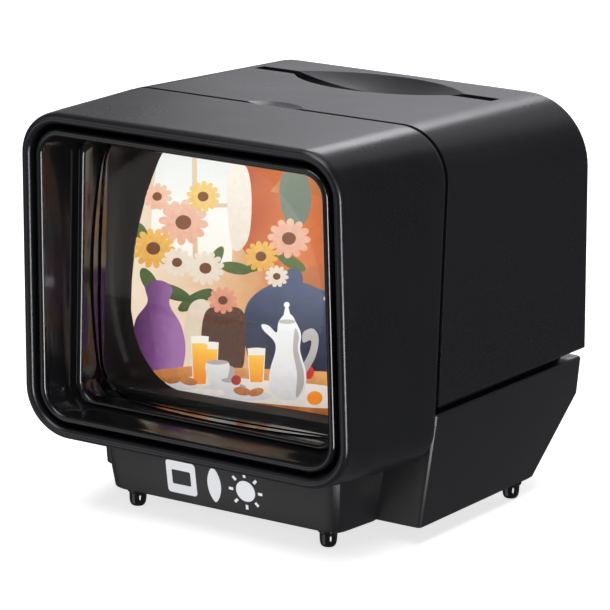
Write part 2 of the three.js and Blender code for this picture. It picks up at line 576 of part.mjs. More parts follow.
// ----------------------------------------------------------- cells and contacts
function cellGeom() {
  const L = CELL_LEN / 2
  const g = turned([[0, -L], [4.4, -L], [4.6, -L + 0.25], [CELL_R - 0.5, -L + 0.25], [CELL_R, -L + 0.8], [CELL_R, L - 1.9],
    [CELL_R - 0.5, L - 1.3], [2.75, L - 1.3], [2.75, L], [0, L]], 0, 0, 20)
  g.rotateY(Math.PI / 2)            // raised terminal towards +X
  return g
}
{
  const front = cellGeom(); front.translate(0, CELL_Y[0], CELL_Z)
  put(viewer, 'cell_front', front, mat(0x2b5f8f, 0.4))
  const rear = cellGeom(); rear.rotateZ(Math.PI); rear.translate(0, CELL_Y[1], CELL_Z)
  put(viewer, 'cell_rear', rear, mat(0x2b5f8f, 0.4))
}
{
  const p = add(mbox(27.7, 28.1, 36.2, 45.0, 6.6, 19.4), mbox(27.7, 28.1, 39.1, 42.1, 18, 24.6),
    mbox(25.6, 27.9, 38.6, 42.6, 11.0, 11.4), mbox(25.6, 26.0, 38.6, 42.6, 11.0, 14.7), mbox(25.6, 27.9, 38.6, 42.6, 14.3, 14.7))
  put(viewer, 'contact_positive', fromMan(cut(p)), nickel())
  const n = add(mbox(27.7, 28.1, 51.2, 60.0, 6.6, 19.4), mbox(27.7, 28.1, 54.1, 57.1, 18, 24.6))
  put(viewer, 'contact_negative', fromMan(n), nickel())
  const b = add(mbox(-28.1, -27.7, 36.2, 60.0, 6.6, 19.4),
    mbox(-27.9, -25.6, 53.6, 57.6, 11.0, 11.4), mbox(-26.0, -25.6, 53.6, 57.6, 11.0, 14.7), mbox(-27.9, -25.6, 53.6, 57.6, 14.3, 14.7))
  put(viewer, 'bridge_contact', fromMan(b), nickel())
  const spring = () => sweep(new Coil(3.7, 2.0, 1.6, 2.5, 0), 0.24, 32, 4)
  const gR = spring(); gR.rotateY(-Math.PI / 2); gR.translate(27.45, CELL_Y[1], CELL_Z)
  put(viewer, 'negative_spring', gR, steel())
  const gL = spring(); gL.rotateY(Math.PI / 2); gL.translate(-27.45, CELL_Y[0], CELL_Z)
  put(viewer, 'bridge_spring', gL, steel())
}

// ---------------------------------------------------------------- lamp contact
{
  put(viewer, 'switch_block', box(18.5, 25.0, 69.9, 74.3, 10.9, 16.3), mat(0xd8d4c8, 0.6))
  const leaf = new THREE.Group()
  viewer.add(leaf)
  put(leaf, 'switch_leaf', box(0.9, 21.5, 70.9, 73.3, 16.6, 17.0), nickel())
  const f = add(mbox(0.9, 18.2, 70.9, 73.3, 12.3, 12.7), mbox(17.4, 18.2, 70.9, 73.3, 9.4, 12.7))
  put(viewer, 'switch_contact', fromMan(f), nickel())
}

// ----------------------------------------------------------------------- wires
const wire = (name, pts, colour) => {
  const c = new THREE.CatmullRomCurve3(pts.map(p => V(...p)), false, 'centripetal')
  put(viewer, name, sweep(c, 0.5, 22, 5), mat(colour, 0.5))
}
wire('wire_red', [[12, 78.1, 43.2], [12, 78.2, 37], [14, 77.7, 30], [23.6, 77.6, 25.4], [26.2, 73.6, 24.2], [27.4, 70.3, 24.2], [31.1, 67.6, 24.7], [31.3, 62, 24.8], [31.3, 48, 24.8], [30.6, 43, 24.4], [28.75, 40.9, 24.0]], 0xa02018)
wire('wire_black', [[-12, 78.1, 43.2], [-12, 78.2, 37], [-8, 78.1, 31], [4, 77.9, 26.8], [16, 77.2, 22.5], [21, 75.8, 19.8], [21.8, 73.8, 18.4], [21.8, 72.3, 17.75]], 0x141414)
wire('wire_contact', [[16.4, 70.1, 10.5], [15.2, 69.2, 14], [20, 68.8, 18.8], [27, 69.3, 21.0], [31.4, 68.6, 21.4], [32.4, 64, 21.4], [32.4, 60, 21.6], [30.8, 57.4, 22.7], [28.75, 55.9, 23.6]], 0x3a3a3c)

// ------------------------------------------------------------ feet and screws
const footNames = ['foot_front_left', 'foot_front_right', 'foot_rear_left', 'foot_rear_right']
FEET.forEach(([x, y], i) => {
  const g = turned([[0, 0], [0.9, 0], [1.25, 0.25], [1.5, 0.75], [1.64, 1.5], [1.66, 2.6], [2.05, 2.85], [2.05, 3.4], [0.95, 3.4], [0.95, 7.0], [0, 7.0]], x, y, 14)
  put(viewer, footNames[i], g, gloss())
})
for (const [name, x] of [['hood_screw_left', -14], ['hood_screw_right', 14]]) {
  const g = screwGeom(2.35, 1.9, 1.2, 9.6)
  g.translate(x, 23.6, 8.85)
  put(viewer, name, g, steel())
}
for (const [name, x] of [['shell_screw_left', -30.5], ['shell_screw_right', 30.5]]) {
  const g = screwGeom(2.35, 1.9, 1.2, 17)
  g.translate(x, 74.5, 11.85)
  put(viewer, name, g, steel())
}

viewer.updateMatrixWorld(true)
export default viewer
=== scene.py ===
import math
import bpy
import bmesh
from mathutils import Vector, Matrix, noise


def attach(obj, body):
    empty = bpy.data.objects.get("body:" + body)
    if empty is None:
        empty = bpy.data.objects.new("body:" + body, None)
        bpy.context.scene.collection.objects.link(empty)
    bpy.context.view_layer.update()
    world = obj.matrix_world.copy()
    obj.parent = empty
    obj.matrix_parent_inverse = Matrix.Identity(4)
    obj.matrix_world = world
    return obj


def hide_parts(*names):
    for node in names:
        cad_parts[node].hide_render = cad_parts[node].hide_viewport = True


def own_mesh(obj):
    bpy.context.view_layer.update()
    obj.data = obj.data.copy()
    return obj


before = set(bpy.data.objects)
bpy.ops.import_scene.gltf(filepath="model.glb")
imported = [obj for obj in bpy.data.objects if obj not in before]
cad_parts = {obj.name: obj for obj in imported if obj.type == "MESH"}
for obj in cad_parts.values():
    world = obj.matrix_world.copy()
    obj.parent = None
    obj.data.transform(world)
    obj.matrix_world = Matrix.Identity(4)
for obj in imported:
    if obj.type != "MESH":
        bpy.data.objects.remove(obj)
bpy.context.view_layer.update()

SCN = bpy.context.scene
MM = 0.001
YS = -41.235                      # same shift as the CAD, mm

# --------------------------------------------------------------------------
# camera: a plain perspective camera at the photograph's angle
# --------------------------------------------------------------------------
UNIT = 0.706
AZ, EL, ROLL = math.radians(32.04896), math.radians(13.79424), math.radians(1.57101)
FPX = 3647.58
DIST, TX, TY = 943.48577 * UNIT, 32.31496 * UNIT, 42.88138 * UNIT
ORIGIN = Vector((0.0, YS, 22.30466 * UNIT))

back = Vector((math.sin(AZ) * math.cos(EL), -math.cos(AZ) * math.cos(EL), math.sin(EL)))
right = Vector((math.cos(AZ), math.sin(AZ), 0))
up = Vector((-math.sin(AZ) * math.sin(EL), math.cos(AZ) * math.sin(EL), math.cos(EL)))
cam_data = bpy.data.cameras.new("camera")
cam_data.sensor_width = 36
cam_data.lens = FPX / 610 * 36
cam_data.clip_start = 0.01
cam_data.clip_end = 20
cam = bpy.data.objects.new("camera", cam_data)
SCN.collection.objects.link(cam)
loc = (ORIGIN + back * DIST + right * TX + up * TY) * MM
r2 = right * math.cos(ROLL) + up * math.sin(ROLL)
u2 = up * math.cos(ROLL) - right * math.sin(ROLL)
m = Matrix((r2, u2, back)).transposed().to_4x4()
m.translation = loc
cam.matrix_world = m
SCN.camera = cam
SCN.view_settings.view_transform = "Standard"

# --------------------------------------------------------------------------
# materials
# --------------------------------------------------------------------------
def new_mat(name):
    mt = bpy.data.materials.new(name)
    mt.use_nodes = True
    nt = mt.node_tree
    nt.nodes.clear()
    out = nt.nodes.new("ShaderNodeOutputMaterial")
    bs = nt.nodes.new("ShaderNodeBsdfPrincipled")
    nt.links.new(bs.outputs[0], out.inputs[0])
    return mt, nt, bs


def coords(nt, scale=1.0):
    tc = nt.nodes.new("ShaderNodeTexCoord")
    mp = nt.nodes.new("ShaderNodeMapping")
    mp.inputs["Scale"].default_value = (scale, scale, scale) if isinstance(scale, (int, float)) else scale
    nt.links.new(tc.outputs["Object"], mp.inputs["Vector"])
    return mp.outputs[0]


def tex_noise(nt, vec, scale, detail=3, rough=0.5, distortion=0.0):
    n = nt.nodes.new("ShaderNodeTexNoise")
    n.inputs["Scale"].default_value = scale
    n.inputs["Detail"].default_value = detail
    n.inputs["Roughness"].default_value = rough
    n.inputs["Distortion"].default_value = distortion
    nt.links.new(vec, n.inputs["Vector"])
    return n.outputs["Fac"]


def ramp(nt, fac, stops):
    r = nt.nodes.new("ShaderNodeValToRGB")
    el = r.color_ramp.elements
    while len(el) < len(stops):
        el.new(0.5)
    for e, (p, c) in zip(el, stops):
        e.position = p
        e.color = (*c, 1) if len(c) == 3 else c
    nt.links.new(fac, r.inputs[0])
    return r.outputs[0]


def map_range(nt, fac, a, b, c, d, clamp=True):
    r = nt.nodes.new("ShaderNodeMapRange")
    r.clamp = clamp
    for k, v in zip(("From Min", "From Max", "To Min", "To Max"), (a, b, c, d)):
        r.inputs[k].default_value = v
    nt.links.new(fac, r.inputs["Value"])
    return r.outputs[0]


def bump(nt, bs, height, strength, distance):
    b = nt.nodes.new("ShaderNodeBump")
    b.inputs["Strength"].default_value = strength
    b.inputs["Distance"].default_value = distance
    nt.links.new(height, b.inputs["Height"])
    nt.links.new(b.outputs[0], bs.inputs["Normal"])
    return b


def plastic(name, dark, light, rough=(0.34, 0.44), grain=2600, grain_mm=0.012, spec=0.5, coat=0.0, coat_rough=0.1, waves=0.0):
    """Moulded plastic: spark-eroded grain in the bump, slow drift in colour and gloss."""
    mt, nt, bs = new_mat(name)
    v = coords(nt)
    slow = tex_noise(nt, v, 38, 2, 0.5)
    fine = tex_noise(nt, v, grain, 2, 0.6)
    nt.links.new(ramp(nt, slow, [(0.3, dark), (0.7, light)]), bs.inputs["Base Color"])
    mix = nt.nodes.new("ShaderNodeMath")
    mix.operation = "MULTIPLY_ADD"
    nt.links.new(fine, mix.inputs[0])
    mix.inputs[1].default_value = 0.25
    nt.links.new(slow, mix.inputs[2])
    nt.links.new(map_range(nt, mix.outputs[0], 0.35, 0.9, rough[0], rough[1]), bs.inputs["Roughness"])
    bs.inputs["Specular IOR Level"].default_value = spec
    bs.inputs["IOR"].default_value = 1.5
    if coat:
        bs.inputs["Coat Weight"].default_value = coat
        bs.inputs["Coat Roughness"].default_value = coat_rough
    if grain_mm:
        bump(nt, bs, fine, 0.5, grain_mm * MM)
    return mt


def metal(name, colour, rough=(0.18, 0.34), streak=(400, 400, 4000)):
    mt, nt, bs = new_mat(name)
    v = coords(nt, streak)
    n = tex_noise(nt, v, 1.0, 3, 0.6)
    c2 = tuple(x * 0.78 for x in colour)
    nt.links.new(ramp(nt, n, [(0.25, c2), (0.7, colour)]), bs.inputs["Base Color"])
    nt.links.new(map_range(nt, n, 0.3, 0.7, rough[0], rough[1]), bs.inputs["Roughness"])
    bs.inputs["Metallic"].default_value = 1.0
    bump(nt, bs, n, 0.15, 0.01 * MM)
    return mt


M_HOUSING = plastic("satin_black_abs", (0.0044, 0.0045, 0.0062), (0.0062, 0.0063, 0.0082), (0.25, 0.34), 2600, 0.010, 0.5)
M_BASE = plastic("satin_black_abs_base", (0.0090, 0.0091, 0.0104), (0.0115, 0.0115, 0.0130), (0.32, 0.42), 2600, 0.010, 0.5)
M_GLOSS = plastic("polished_black_abs", (0.0040, 0.0040, 0.0048), (0.0060, 0.0060, 0.0070), (0.12, 0.18), 900, 0.004, 0.5)
M_FOOT = plastic("polished_black_foot", (0.0030, 0.0030, 0.0034), (0.0050, 0.0050, 0.0056), (0.08, 0.14), 700, 0.004, 0.55)
M_MATT = plastic("matt_black_abs", (0.010, 0.010, 0.0105), (0.018, 0.018, 0.019), (0.62, 0.78), 1800, 0.02, 0.35)
M_WHITE = plastic("white_abs", (0.72, 0.72, 0.70), (0.80, 0.80, 0.78), (0.26, 0.36), 1800, 0.008, 0.5)
M_OPAL = plastic("opal_acrylic", (0.80, 0.80, 0.78), (0.86, 0.86, 0.84), (0.30, 0.42), 1500, 0.006, 0.5)
M_MOUNT = plastic("slide_mount_white", (0.66, 0.65, 0.62), (0.74, 0.73, 0.70), (0.38, 0.50), 2200, 0.012, 0.5)
M_NYLON = plastic("natural_nylon", (0.58, 0.55, 0.47), (0.66, 0.63, 0.55), (0.40, 0.52), 1500, 0.01, 0.4)
M_RED = plastic("pvc_red", (0.28, 0.012, 0.010), (0.36, 0.018, 0.014), (0.36, 0.48), 1200, 0.006, 0.5)
M_BLACKWIRE = plastic("pvc_black", (0.010, 0.010, 0.010), (0.018, 0.018, 0.018), (0.36, 0.48), 1200, 0.006, 0.5)
M_CHIP = plastic("chip_body", (0.012, 0.013, 0.015), (0.022, 0.023, 0.026), (0.30, 0.42), 2000, 0.006, 0.5)
M_STEEL = metal("zinc_steel", (0.62, 0.63, 0.65))
M_NICKEL = metal("nickel_strip", (0.66, 0.63, 0.57), (0.16, 0.28), (300, 3000, 300))


def mat_board():
    mt, nt, bs = new_mat("green_solder_mask")
    v = coords(nt)
    n = tex_noise(nt, v, 900, 2, 0.5)
    br = nt.nodes.new("ShaderNodeTexBrick")
    br.inputs["Scale"].default_value = 260
    br.inputs["Mortar Size"].default_value = 0.03
    br.inputs["Color1"].default_value = (0.012, 0.085, 0.035, 1)
    br.inputs["Color2"].default_value = (0.015, 0.100, 0.042, 1)
    br.inputs["Mortar"].default_value = (0.030, 0.170, 0.075, 1)
    nt.links.new(v, br.inputs["Vector"])
    nt.links.new(br.outputs[0], bs.inputs["Base Color"])
    nt.links.new(map_range(nt, n, 0.3, 0.7, 0.25, 0.38), bs.inputs["Roughness"])
    bump(nt, bs, n, 0.2, 0.01 * MM)
    return mt


def mat_cell():
    """Printed sleeve: plain blue with a dark and a copper band, bare steel at the ends."""
    mt, nt, bs = new_mat("cell_sleeve")
    v = coords(nt)
    sep = nt.nodes.new("ShaderNodeSeparateXYZ")
    nt.links.new(v, sep.inputs[0])
    n = tex_noise(nt, v, 700, 2, 0.5)
    pos = map_range(nt, sep.outputs[0], -0.02525, 0.02525, 0, 1)
    r = nt.nodes.new("ShaderNodeValToRGB")
    r.color_ramp.interpolation = "CONSTANT"
    el = r.color_ramp.elements
    stops = [(0.0, (0.60, 0.60, 0.60)), (0.03, (0.02, 0.02, 0.025)), (0.12, (0.016, 0.060, 0.150)), (0.70, (0.42, 0.20, 0.07)), (0.95, (0.60, 0.60, 0.60))]
    while len(el) < len(stops):
        el.new(0.5)
    for e, (p, c) in zip(el, stops):
        e.position = p
        e.color = (*c, 1)
    nt.links.new(pos, r.inputs[0])
    nt.links.new(r.outputs[0], bs.inputs["Base Color"])
    nt.links.new(map_range(nt, n, 0.3, 0.7, 0.22, 0.34), bs.inputs["Roughness"])
    bs.inputs["Metallic"].default_value = 0.6
    bump(nt, bs, n, 0.1, 0.01 * MM)
    return mt


LENS_IOR = 1.25


def mat_lens():
    mt, nt, bs = new_mat("clear_acrylic")
    v = coords(nt)
    n = tex_noise(nt, v, 60, 2, 0.5)
    nt.links.new(ramp(nt, n, [(0.3, (0.955, 0.965, 0.97)), (0.7, (0.975, 0.98, 0.985))]), bs.inputs["Base Color"])
    nt.links.new(map_range(nt, n, 0.3, 0.7, 0.0, 0.012), bs.inputs["Roughness"])
    bs.inputs["Transmission Weight"].default_value = 1.0
    bs.inputs["IOR"].default_value = LENS_IOR
    return mt


def mat_led():
    mt, nt, bs = new_mat("led_epoxy")
    v = coords(nt)
    n = tex_noise(nt, v, 400, 2, 0.5)
    nt.links.new(ramp(nt, n, [(0.3, (0.90, 0.82, 0.45)), (0.7, (0.97, 0.93, 0.70))]), bs.inputs["Base Color"])
    nt.links.new(map_range(nt, n, 0.3, 0.7, 0.05, 0.12), bs.inputs["Roughness"])
    nt.links.new(ramp(nt, n, [(0.3, (1.0, 0.95, 0.85)), (0.7, (1.0, 0.98, 0.94))]), bs.inputs["Emission Color"])
    bs.inputs["Emission Strength"].default_value = 3.0
    return mt


def mat_film():
    mt, nt, bs = new_mat("reversal_film")
    v = coords(nt)
    sep = nt.nodes.new("ShaderNodeSeparateXYZ")
    nt.links.new(v, sep.inputs[0])
    n = tex_noise(nt, v, 160, 4, 0.6)
    h = map_range(nt, sep.outputs[2], 0.0375, 0.0625, 0, 1)
    add = nt.nodes.new("ShaderNodeMath")
    add.operation = "MULTIPLY_ADD"
    nt.links.new(n, add.inputs[0])
    add.inputs[1].default_value = 0.3
    nt.links.new(h, add.inputs[2])
    nt.links.new(ramp(nt, add.outputs[0], [(0.1, (0.05, 0.03, 0.10)), (0.45, (0.35, 0.12, 0.05)), (0.75, (0.70, 0.35, 0.12)), (1.0, (0.85, 0.72, 0.50))]), bs.inputs["Base Color"])
    nt.links.new(map_range(nt, n, 0.3, 0.7, 0.12, 0.22), bs.inputs["Roughness"])
    return mt


M_BOARD, M_CELL, M_LENS, M_LED, M_FILM = mat_board(), mat_cell(), mat_lens(), mat_led(), mat_film()

# --------------------------------------------------------------------------
# mesh helpers; everything below is in the CAD's millimetres before the shift
# --------------------------------------------------------------------------
AXIS_Z = 47.15
BEZEL = dict(hw=35.3, slope=-0.02, zb=15.74, zt=78.55, rb=9.5, rt=8.5, y=0, lean=-0.07)
SEAM = dict(hw=38.46, slope=-0.02, zb=15.74, zt=78.57, rb=8.0, rt=10.0, y=28.0, lean=0.05)
REAR = dict(hw=39.65, slope=0, zb=15.74, zt=77.35, rb=8.0, rt=13.1, y=81.7, lean=-0.06)


def between(A, B, t):
    return {k: A[k] + (B[k] - A[k]) * t for k in A}


def outline(S, inset=0.0, dy=0.0, n=14, rmin=0.4):
    zm = (S["zb"] + S["zt"]) / 2
    h, b, t = S["hw"] - inset, S["zb"] + inset, S["zt"] - inset
    r0, r1 = max(S["rb"] - inset, rmin), max(S["rt"] - inset, rmin)
    pts = []

    def corner(cx, cz, r, a0):
        for i in range(n + 1):
            a = a0 + math.pi / 2 * i / n
            pts.append((cx + r * math.cos(a), cz + r * math.sin(a)))

    corner(h - r1, t - r1, r1, 0)
    corner(-h + r1, t - r1, r1, math.pi / 2)
    corner(-h + r0, b + r0, r0, math.pi)
    corner(h - r0, b + r0, r0, 1.5 * math.pi)
    return [(x * (1 + S["slope"] * (z - zm) / h), S["y"] + dy + S["lean"] * (z - zm), z) for x, z in pts]


def rect(hw, hh, r, y, n=14, zc=AXIS_Z):
    return outline(dict(hw=hw, slope=0, zb=zc - hh, zt=zc + hh, rb=r, rt=r, y=y, lean=0), 0, 0, n)


def skin(rings, wrap=False, caps=True):
    n, verts, faces = len(rings[0]), [], []
    for r in rings:
        verts += r
    m = len(rings)
    for k in range(m if wrap else m - 1):
        a, b = k * n, ((k + 1) % m) * n
        for i in range(n):
            j = (i + 1) % n
            faces.append((a + i, a + j, b + j, b + i))
    if not wrap and caps:
        faces.append(tuple(range(n - 1, -1, -1)))
        faces.append(tuple((m - 1) * n + i for i in range(n)))
    return verts, faces


def mesh_from(name, verts, faces, shift=True):
    me = bpy.data.meshes.new(name)
    ys = YS if shift else 0
    me.from_pydata([(x * MM, (y + ys) * MM, z * MM) for x, y, z in verts], [], faces)
    me.validate()
    return me


def tidy(me, sharp=38, weld=1e-7, recalc=True):
    bm = bmesh.new()
    bm.from_mesh(me)
    if weld:
        bmesh.ops.remove_doubles(bm, verts=bm.verts, dist=weld)
    if recalc:
        bmesh.ops.recalc_face_normals(bm, faces=bm.faces)
    bm.to_mesh(me)
    bm.free()
    me.polygons.foreach_set("use_smooth", [True] * len(me.polygons))
    me.set_sharp_from_angle(angle=math.radians(sharp))
    me.update()
    return me


def add(name, me, mat, body="housing", node=None, slot=None):
    o = bpy.data.objects.new(name, me)
    SCN.collection.objects.link(o)
    mats = mat if isinstance(mat, (list, tuple)) else [mat]
    me.materials.clear()
    for x in mats:
        me.materials.append(x)
    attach(o, body)
    if node:
        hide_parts(*([node] if isinstance(node, str) else node))
    return o


def lathe(profile, x=0.0, y=0.0, seg=40):
    """profile of (radius, z), both ends on the axis"""
    verts, faces = [], []
    rows = []
    for r, z in profile:
        if r < 1e-9:
            rows.append([len(verts)])
            verts.append((x, y, z))
        else:
            row = []
            for i in range(seg):
                a = 2 * math.pi * i / seg
                row.append(len(verts))
                verts.append((x + r * math.cos(a), y + r * math.sin(a), z))
            rows.append(row)
    for a, b in zip(rows, rows[1:]):
        for i in range(seg):
            j = (i + 1) % seg
            if len(a) == 1 and len(b) == 1:
                continue
            if len(a) == 1:
                faces.append((a[0], b[j], b[i]))
            elif len(b) == 1:
                faces.append((a[i], a[j], b[0]))
            else:
                faces.append((a[i], a[j], b[j], b[i]))
    return verts, faces


def arc(cx, cy, r, a0, a1, n):
    return [(cx + r * math.cos(math.radians(a0 + (a1 - a0) * i / n)), cy + r * math.sin(math.radians(a0 + (a1 - a0) * i / n))) for i in range(n + 1)]


def tube(pts, radius, sides=12, closed_ends=True):
    """round bar along points in mm"""
    P = [Vector(p) for p in pts]
    verts, faces = [], []
    t0 = (P[1] - P[0]).normalized()
    ref = Vector((0, 0, 1)) if abs(t0.z) < 0.9 else Vector((1, 0, 0))
    nrm = (ref - t0 * ref.dot(t0)).normalized()
    for k, p in enumerate(P):
        t = ((P[k + 1] - p) if k == 0 else (p - P[k - 1]) if k == len(P) - 1 else (P[k + 1] - P[k - 1])).normalized()
        nrm = (nrm - t * nrm.dot(t)).normalized()
        bn = t.cross(nrm)
        for i in range(sides):
            a = 2 * math.pi * i / sides
            verts.append(tuple(p + nrm * radius * math.cos(a) + bn * radius * math.sin(a)))
    for k in range(len(P) - 1):
        for i in range(sides):
            j = (i + 1) % sides
            faces.append((k * sides + i, k * sides + j, (k + 1) * sides + j, (k + 1) * sides + i))
    if closed_ends:
        faces.append(tuple(range(sides - 1, -1, -1)))
        faces.append(tuple((len(P) - 1) * sides + i for i in range(sides)))
    return verts, faces


def catmull(pts, per=10):
    P = [Vector(p) for p in pts]
    P = [P[0] * 2 - P[1]] + P + [P[-1] * 2 - P[-2]]
    out = []
    for k in range(1, len(P) - 2):
        a, b, c, d = P[k - 1:k + 3]
        for i in range(per):
            t = i / per
            out.append(0.5 * ((2 * b) + (c - a) * t + (2 * a - 5 * b + 4 * c - d) * t * t + (3 * b - a - 3 * c + d) * t ** 3))
    out.append(P[-2])
    return out


def boxmesh(x0, x1, y0, y1, z0, z1):
    v = [(x, y, z) for z in (z0, z1) for y in (y0, y1) for x in (x0, x1)]
    f = [(0, 2, 3, 1), (4, 5, 7, 6), (0, 1, 5, 4), (2, 6, 7, 3), (0, 4, 6, 2), (1, 3, 7, 5)]
    return v, f


def boolean(me, cutter_vf, op="DIFFERENCE"):
    """exact boolean of a mesh with a list of closed cutters, result baked into a new mesh"""
    o = bpy.data.objects.new("tmp_a", me)
    SCN.collection.objects.link(o)
    cs = []
    for k, vf in enumerate(cutter_vf):
        cm = mesh_from("tmp_c%d" % k, *vf)
        tidy(cm, 40)
        c = bpy.data.objects.new("tmp_c%d" % k, cm)
        SCN.collection.objects.link(c)
        md = o.modifiers.new("b%d" % k, "BOOLEAN")
        md.operation = op
        md.solver = "EXACT"
        md.object = c
        cs.append(c)
    bpy.context.view_layer.update()
    dg = bpy.context.evaluated_depsgraph_get()
    out = bpy.data.meshes.new_from_object(o.evaluated_get(dg))
    for c in cs + [o]:
        bpy.data.objects.remove(c, do_unlink=True)
    return out


def refine(node, mat, width=0.2, segs=2, angle=32, sharp=34, body="housing", slot=None, name=None, keep=None):
    """a CAD node's own shape, with flat faces rejoined and its edges rounded"""
    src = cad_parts[node]
    me = src.data.copy()
    me.name = name or node + "_skin"
    bm = bmesh.new()
    bm.from_mesh(me)
    bmesh.ops.remove_doubles(bm, verts=bm.verts, dist=2e-6)
    bmesh.ops.dissolve_limit(bm, angle_limit=math.radians(0.6), verts=bm.verts, edges=bm.edges)
    bmesh.ops.recalc_face_normals(bm, faces=bm.faces)
    if width:
        es = [e for e in bm.edges if len(e.link_faces) == 2 and e.calc_face_angle(0) > math.radians(angle)]
        if keep:
            es = [e for e in es if keep(e)]
        bmesh.ops.bevel(bm, geom=es, offset=width * MM, offset_type="OFFSET", segments=segs, profile=0.5, affect="EDGES", clamp_overlap=True)
    bmesh.ops.remove_doubles(bm, verts=bm.verts, dist=1e-7)
    bm.to_mesh(me)
    bm.free()
    me.polygons.foreach_set("use_smooth", [True] * len(me.polygons))
    me.set_sharp_from_angle(angle=math.radians(sharp))
    return add(me.name, me, mat, body, node, slot)


# --------------------------------------------------------------------------
# front hood
# --------------------------------------------------------------------------
f = lambda i, d, n=14: outline(BEZEL, i, d, n)
s = lambda i, d, n=14: outline(SEAM, i, d, n)
mid = lambda t, i, n=14: outline(between(BEZEL, SEAM, t), i, 0, n)
rim = [f(2.2, 3.4), f(2.18, 1.9), f(2.15, 1.35)]
for k in range(1, 12):
    a = math.pi * k / 12
    rim.append(f(1.12 + 1.03 * math.cos(a), 1.30 - 1.30 * math.sin(a) ** 0.85))
rim += [f(0.06, 1.35), f(0.0, 1.75), f(0.0, 2.6)]
hood_rings = rim + [mid(0.2, 0), mid(0.4, 0), mid(0.6, 0), mid(0.8, 0), s(0, -1.2), s(0, -0.42), s(0.04, -0.2), s(0.13, -0.06), s(0.3, 0),
                    s(2.35, 0), s(2.35, 2.3), s(3.5, 2.3), s(3.5, -4.5), s(2.1, -6), mid(0.4, 2.1)]
hv, hf = skin(hood_rings, wrap=True)
hood = mesh_from("front_hood_skin", hv, hf)
tidy(hood)
cut = [boxmesh(-60, 60, 28.05, 40, 0, 27.0)]
for x in (-14, 14):
    cut.append(lathe([(0, 10), (1.45, 10), (1.45, 19.5), (0, 19.5)], x, 23.6, 24))
hood = boolean(hood, cut)
tidy(hood, 38)
add("front_hood_skin", hood, M_HOUSING, "housing", "front_hood", "housing_black")

# --------------------------------------------------------------------------
# glossy bezel insert
# --------------------------------------------------------------------------
bz = [f(3.1, 3.2), f(3.1, 1.9), f(3.12, 1.45)]
for k in range(1, 12):
    a = math.pi * k / 12
    bz.append(f(3.87 - 0.75 * math.cos(a), 1.40 - 0.95 * math.sin(a) ** 0.85))
bz += [f(4.64, 1.6), f(4.7, 2.0)]
bz += [rect(29.80, 26.36, 4.7, 5.2), rect(29.62, 26.15, 4.5, 7.2), rect(29.52, 26.02, 4.4, 8.45), rect(29.46, 25.96, 4.3, 8.74), rect(29.34, 25.88, 4.2, 8.95), rect(29.20, 25.82, 4.1, 9.35)]
# rounded bead of the lens frame
for k in range(0, 13):
    c_, s_ = math.cos(math.pi * k / 12), math.sin(math.pi * k / 12)
    bz.append(rect(28.46 + 0.66 * c_, 25.34 + 0.46 * c_, 3.9 - 0.03 * k, 9.40 - 0.72 * s_))
bz += [rect(27.95, 25.15, 3.4, 9.9), rect(27.95, 25.25, 3.4, 12.2), rect(27.95, 25.35, 3.4, 14.65), rect(29.6, 27.0, 3.0, 14.65), rect(29.6, 27.0, 3.0, 18.0),
       rect(33.6, 28.5, 7.5, 18.0), rect(33.6, 28.5, 7.5, 15.8), rect(31.6, 27.9, 5.6, 15.8), rect(31.3, 27.9, 5.4, 9.0)]
bv, bf = skin(bz, wrap=True)
bez = mesh_from("lens_bezel_skin", bv, bf)
tidy(bez, 42)
add("lens_bezel_skin", bez, M_GLOSS, "housing", "lens_bezel", "gloss_black")

# --------------------------------------------------------------------------
# magnifier
# --------------------------------------------------------------------------
LENS_Y, LENS_R, LHT = 16.0, 84.0, 8.55


def dense(pts, step=14):
    """the same closed outline with each long straight side divided"""
    out, n = [], len(pts)
    for i, p in enumerate(pts):
        q = pts[(i + 1) % n]
        out.append(p)
        if (i + 1) % (n // 4) == 0:
            out += [tuple(a + (b - a) * k / (step * 2) for a, b in zip(p, q)) for k in range(1, step * 2)]
    return out


def lens_mesh():
    N = 14
    base = dense([(p[0], p[2]) for p in rect(27.6, 25.0, 6.5, 0, N, 0)])
    verts, faces, rows = [], [], []
    R = 44

    def sag(x, z):
        return LENS_R - math.sqrt(LENS_R ** 2 - x * x - z * z)

    def row(sx, side):
        ids = []
        for x, z in base:
            px, pz = x * sx, z * sx
            y = side * (LHT - sag(px, pz))
            ids.append(len(verts))
            verts.append((px, LENS_Y + y, AXIS_Z + pz))
        return ids
    verts.append((0, LENS_Y - LHT, AXIS_Z)); front_c = 0
    for k in range(1, R + 1):
        rows.append(row(min(1.0, k / R), -1))
    # flange, stepping out from the body and back
    def flat(hw, hh, r, y):
        ids = []
        for p in dense(rect(hw, hh, r, 0, N, 0)):
            ids.append(len(verts))
            verts.append((p[0], LENS_Y + y, AXIS_Z + p[2]))
        return ids
    rows.append(flat(27.6, 25.0, 6.5, -1.1))
    rows.append(flat(29.15, 26.55, 2.9, -1.1))
    rows.append(flat(29.25, 26.65, 2.8, -1.0))
    rows.append(flat(29.25, 26.65, 2.8, 1.0))
    rows.append(flat(29.15, 26.55, 2.9, 1.1))
    rows.append(flat(27.6, 25.0, 6.5, 1.1))
    for k in range(R, 0, -1):
        rows.append(row(k / R, 1))
    back_c = len(verts)
    verts.append((0, LENS_Y + LHT, AXIS_Z))
    n = len(base)
    for i in range(n):
        j = (i + 1) % n
        faces.append((front_c, rows[0][i], rows[0][j]))
        faces.append((back_c, rows[-1][j], rows[-1][i]))
    for a, b in zip(rows, rows[1:]):
        for i in range(n):
            j = (i + 1) % n
            faces.append((a[i], b[i], b[j], a[j]))
    return verts, faces


lm = mesh_from("magnifier_lens_skin", *lens_mesh())
tidy(lm, 30)
add("magnifier_lens_skin", lm, [M_LENS, M_GLOSS], "housing", "magnifier_lens", "clear_acrylic")
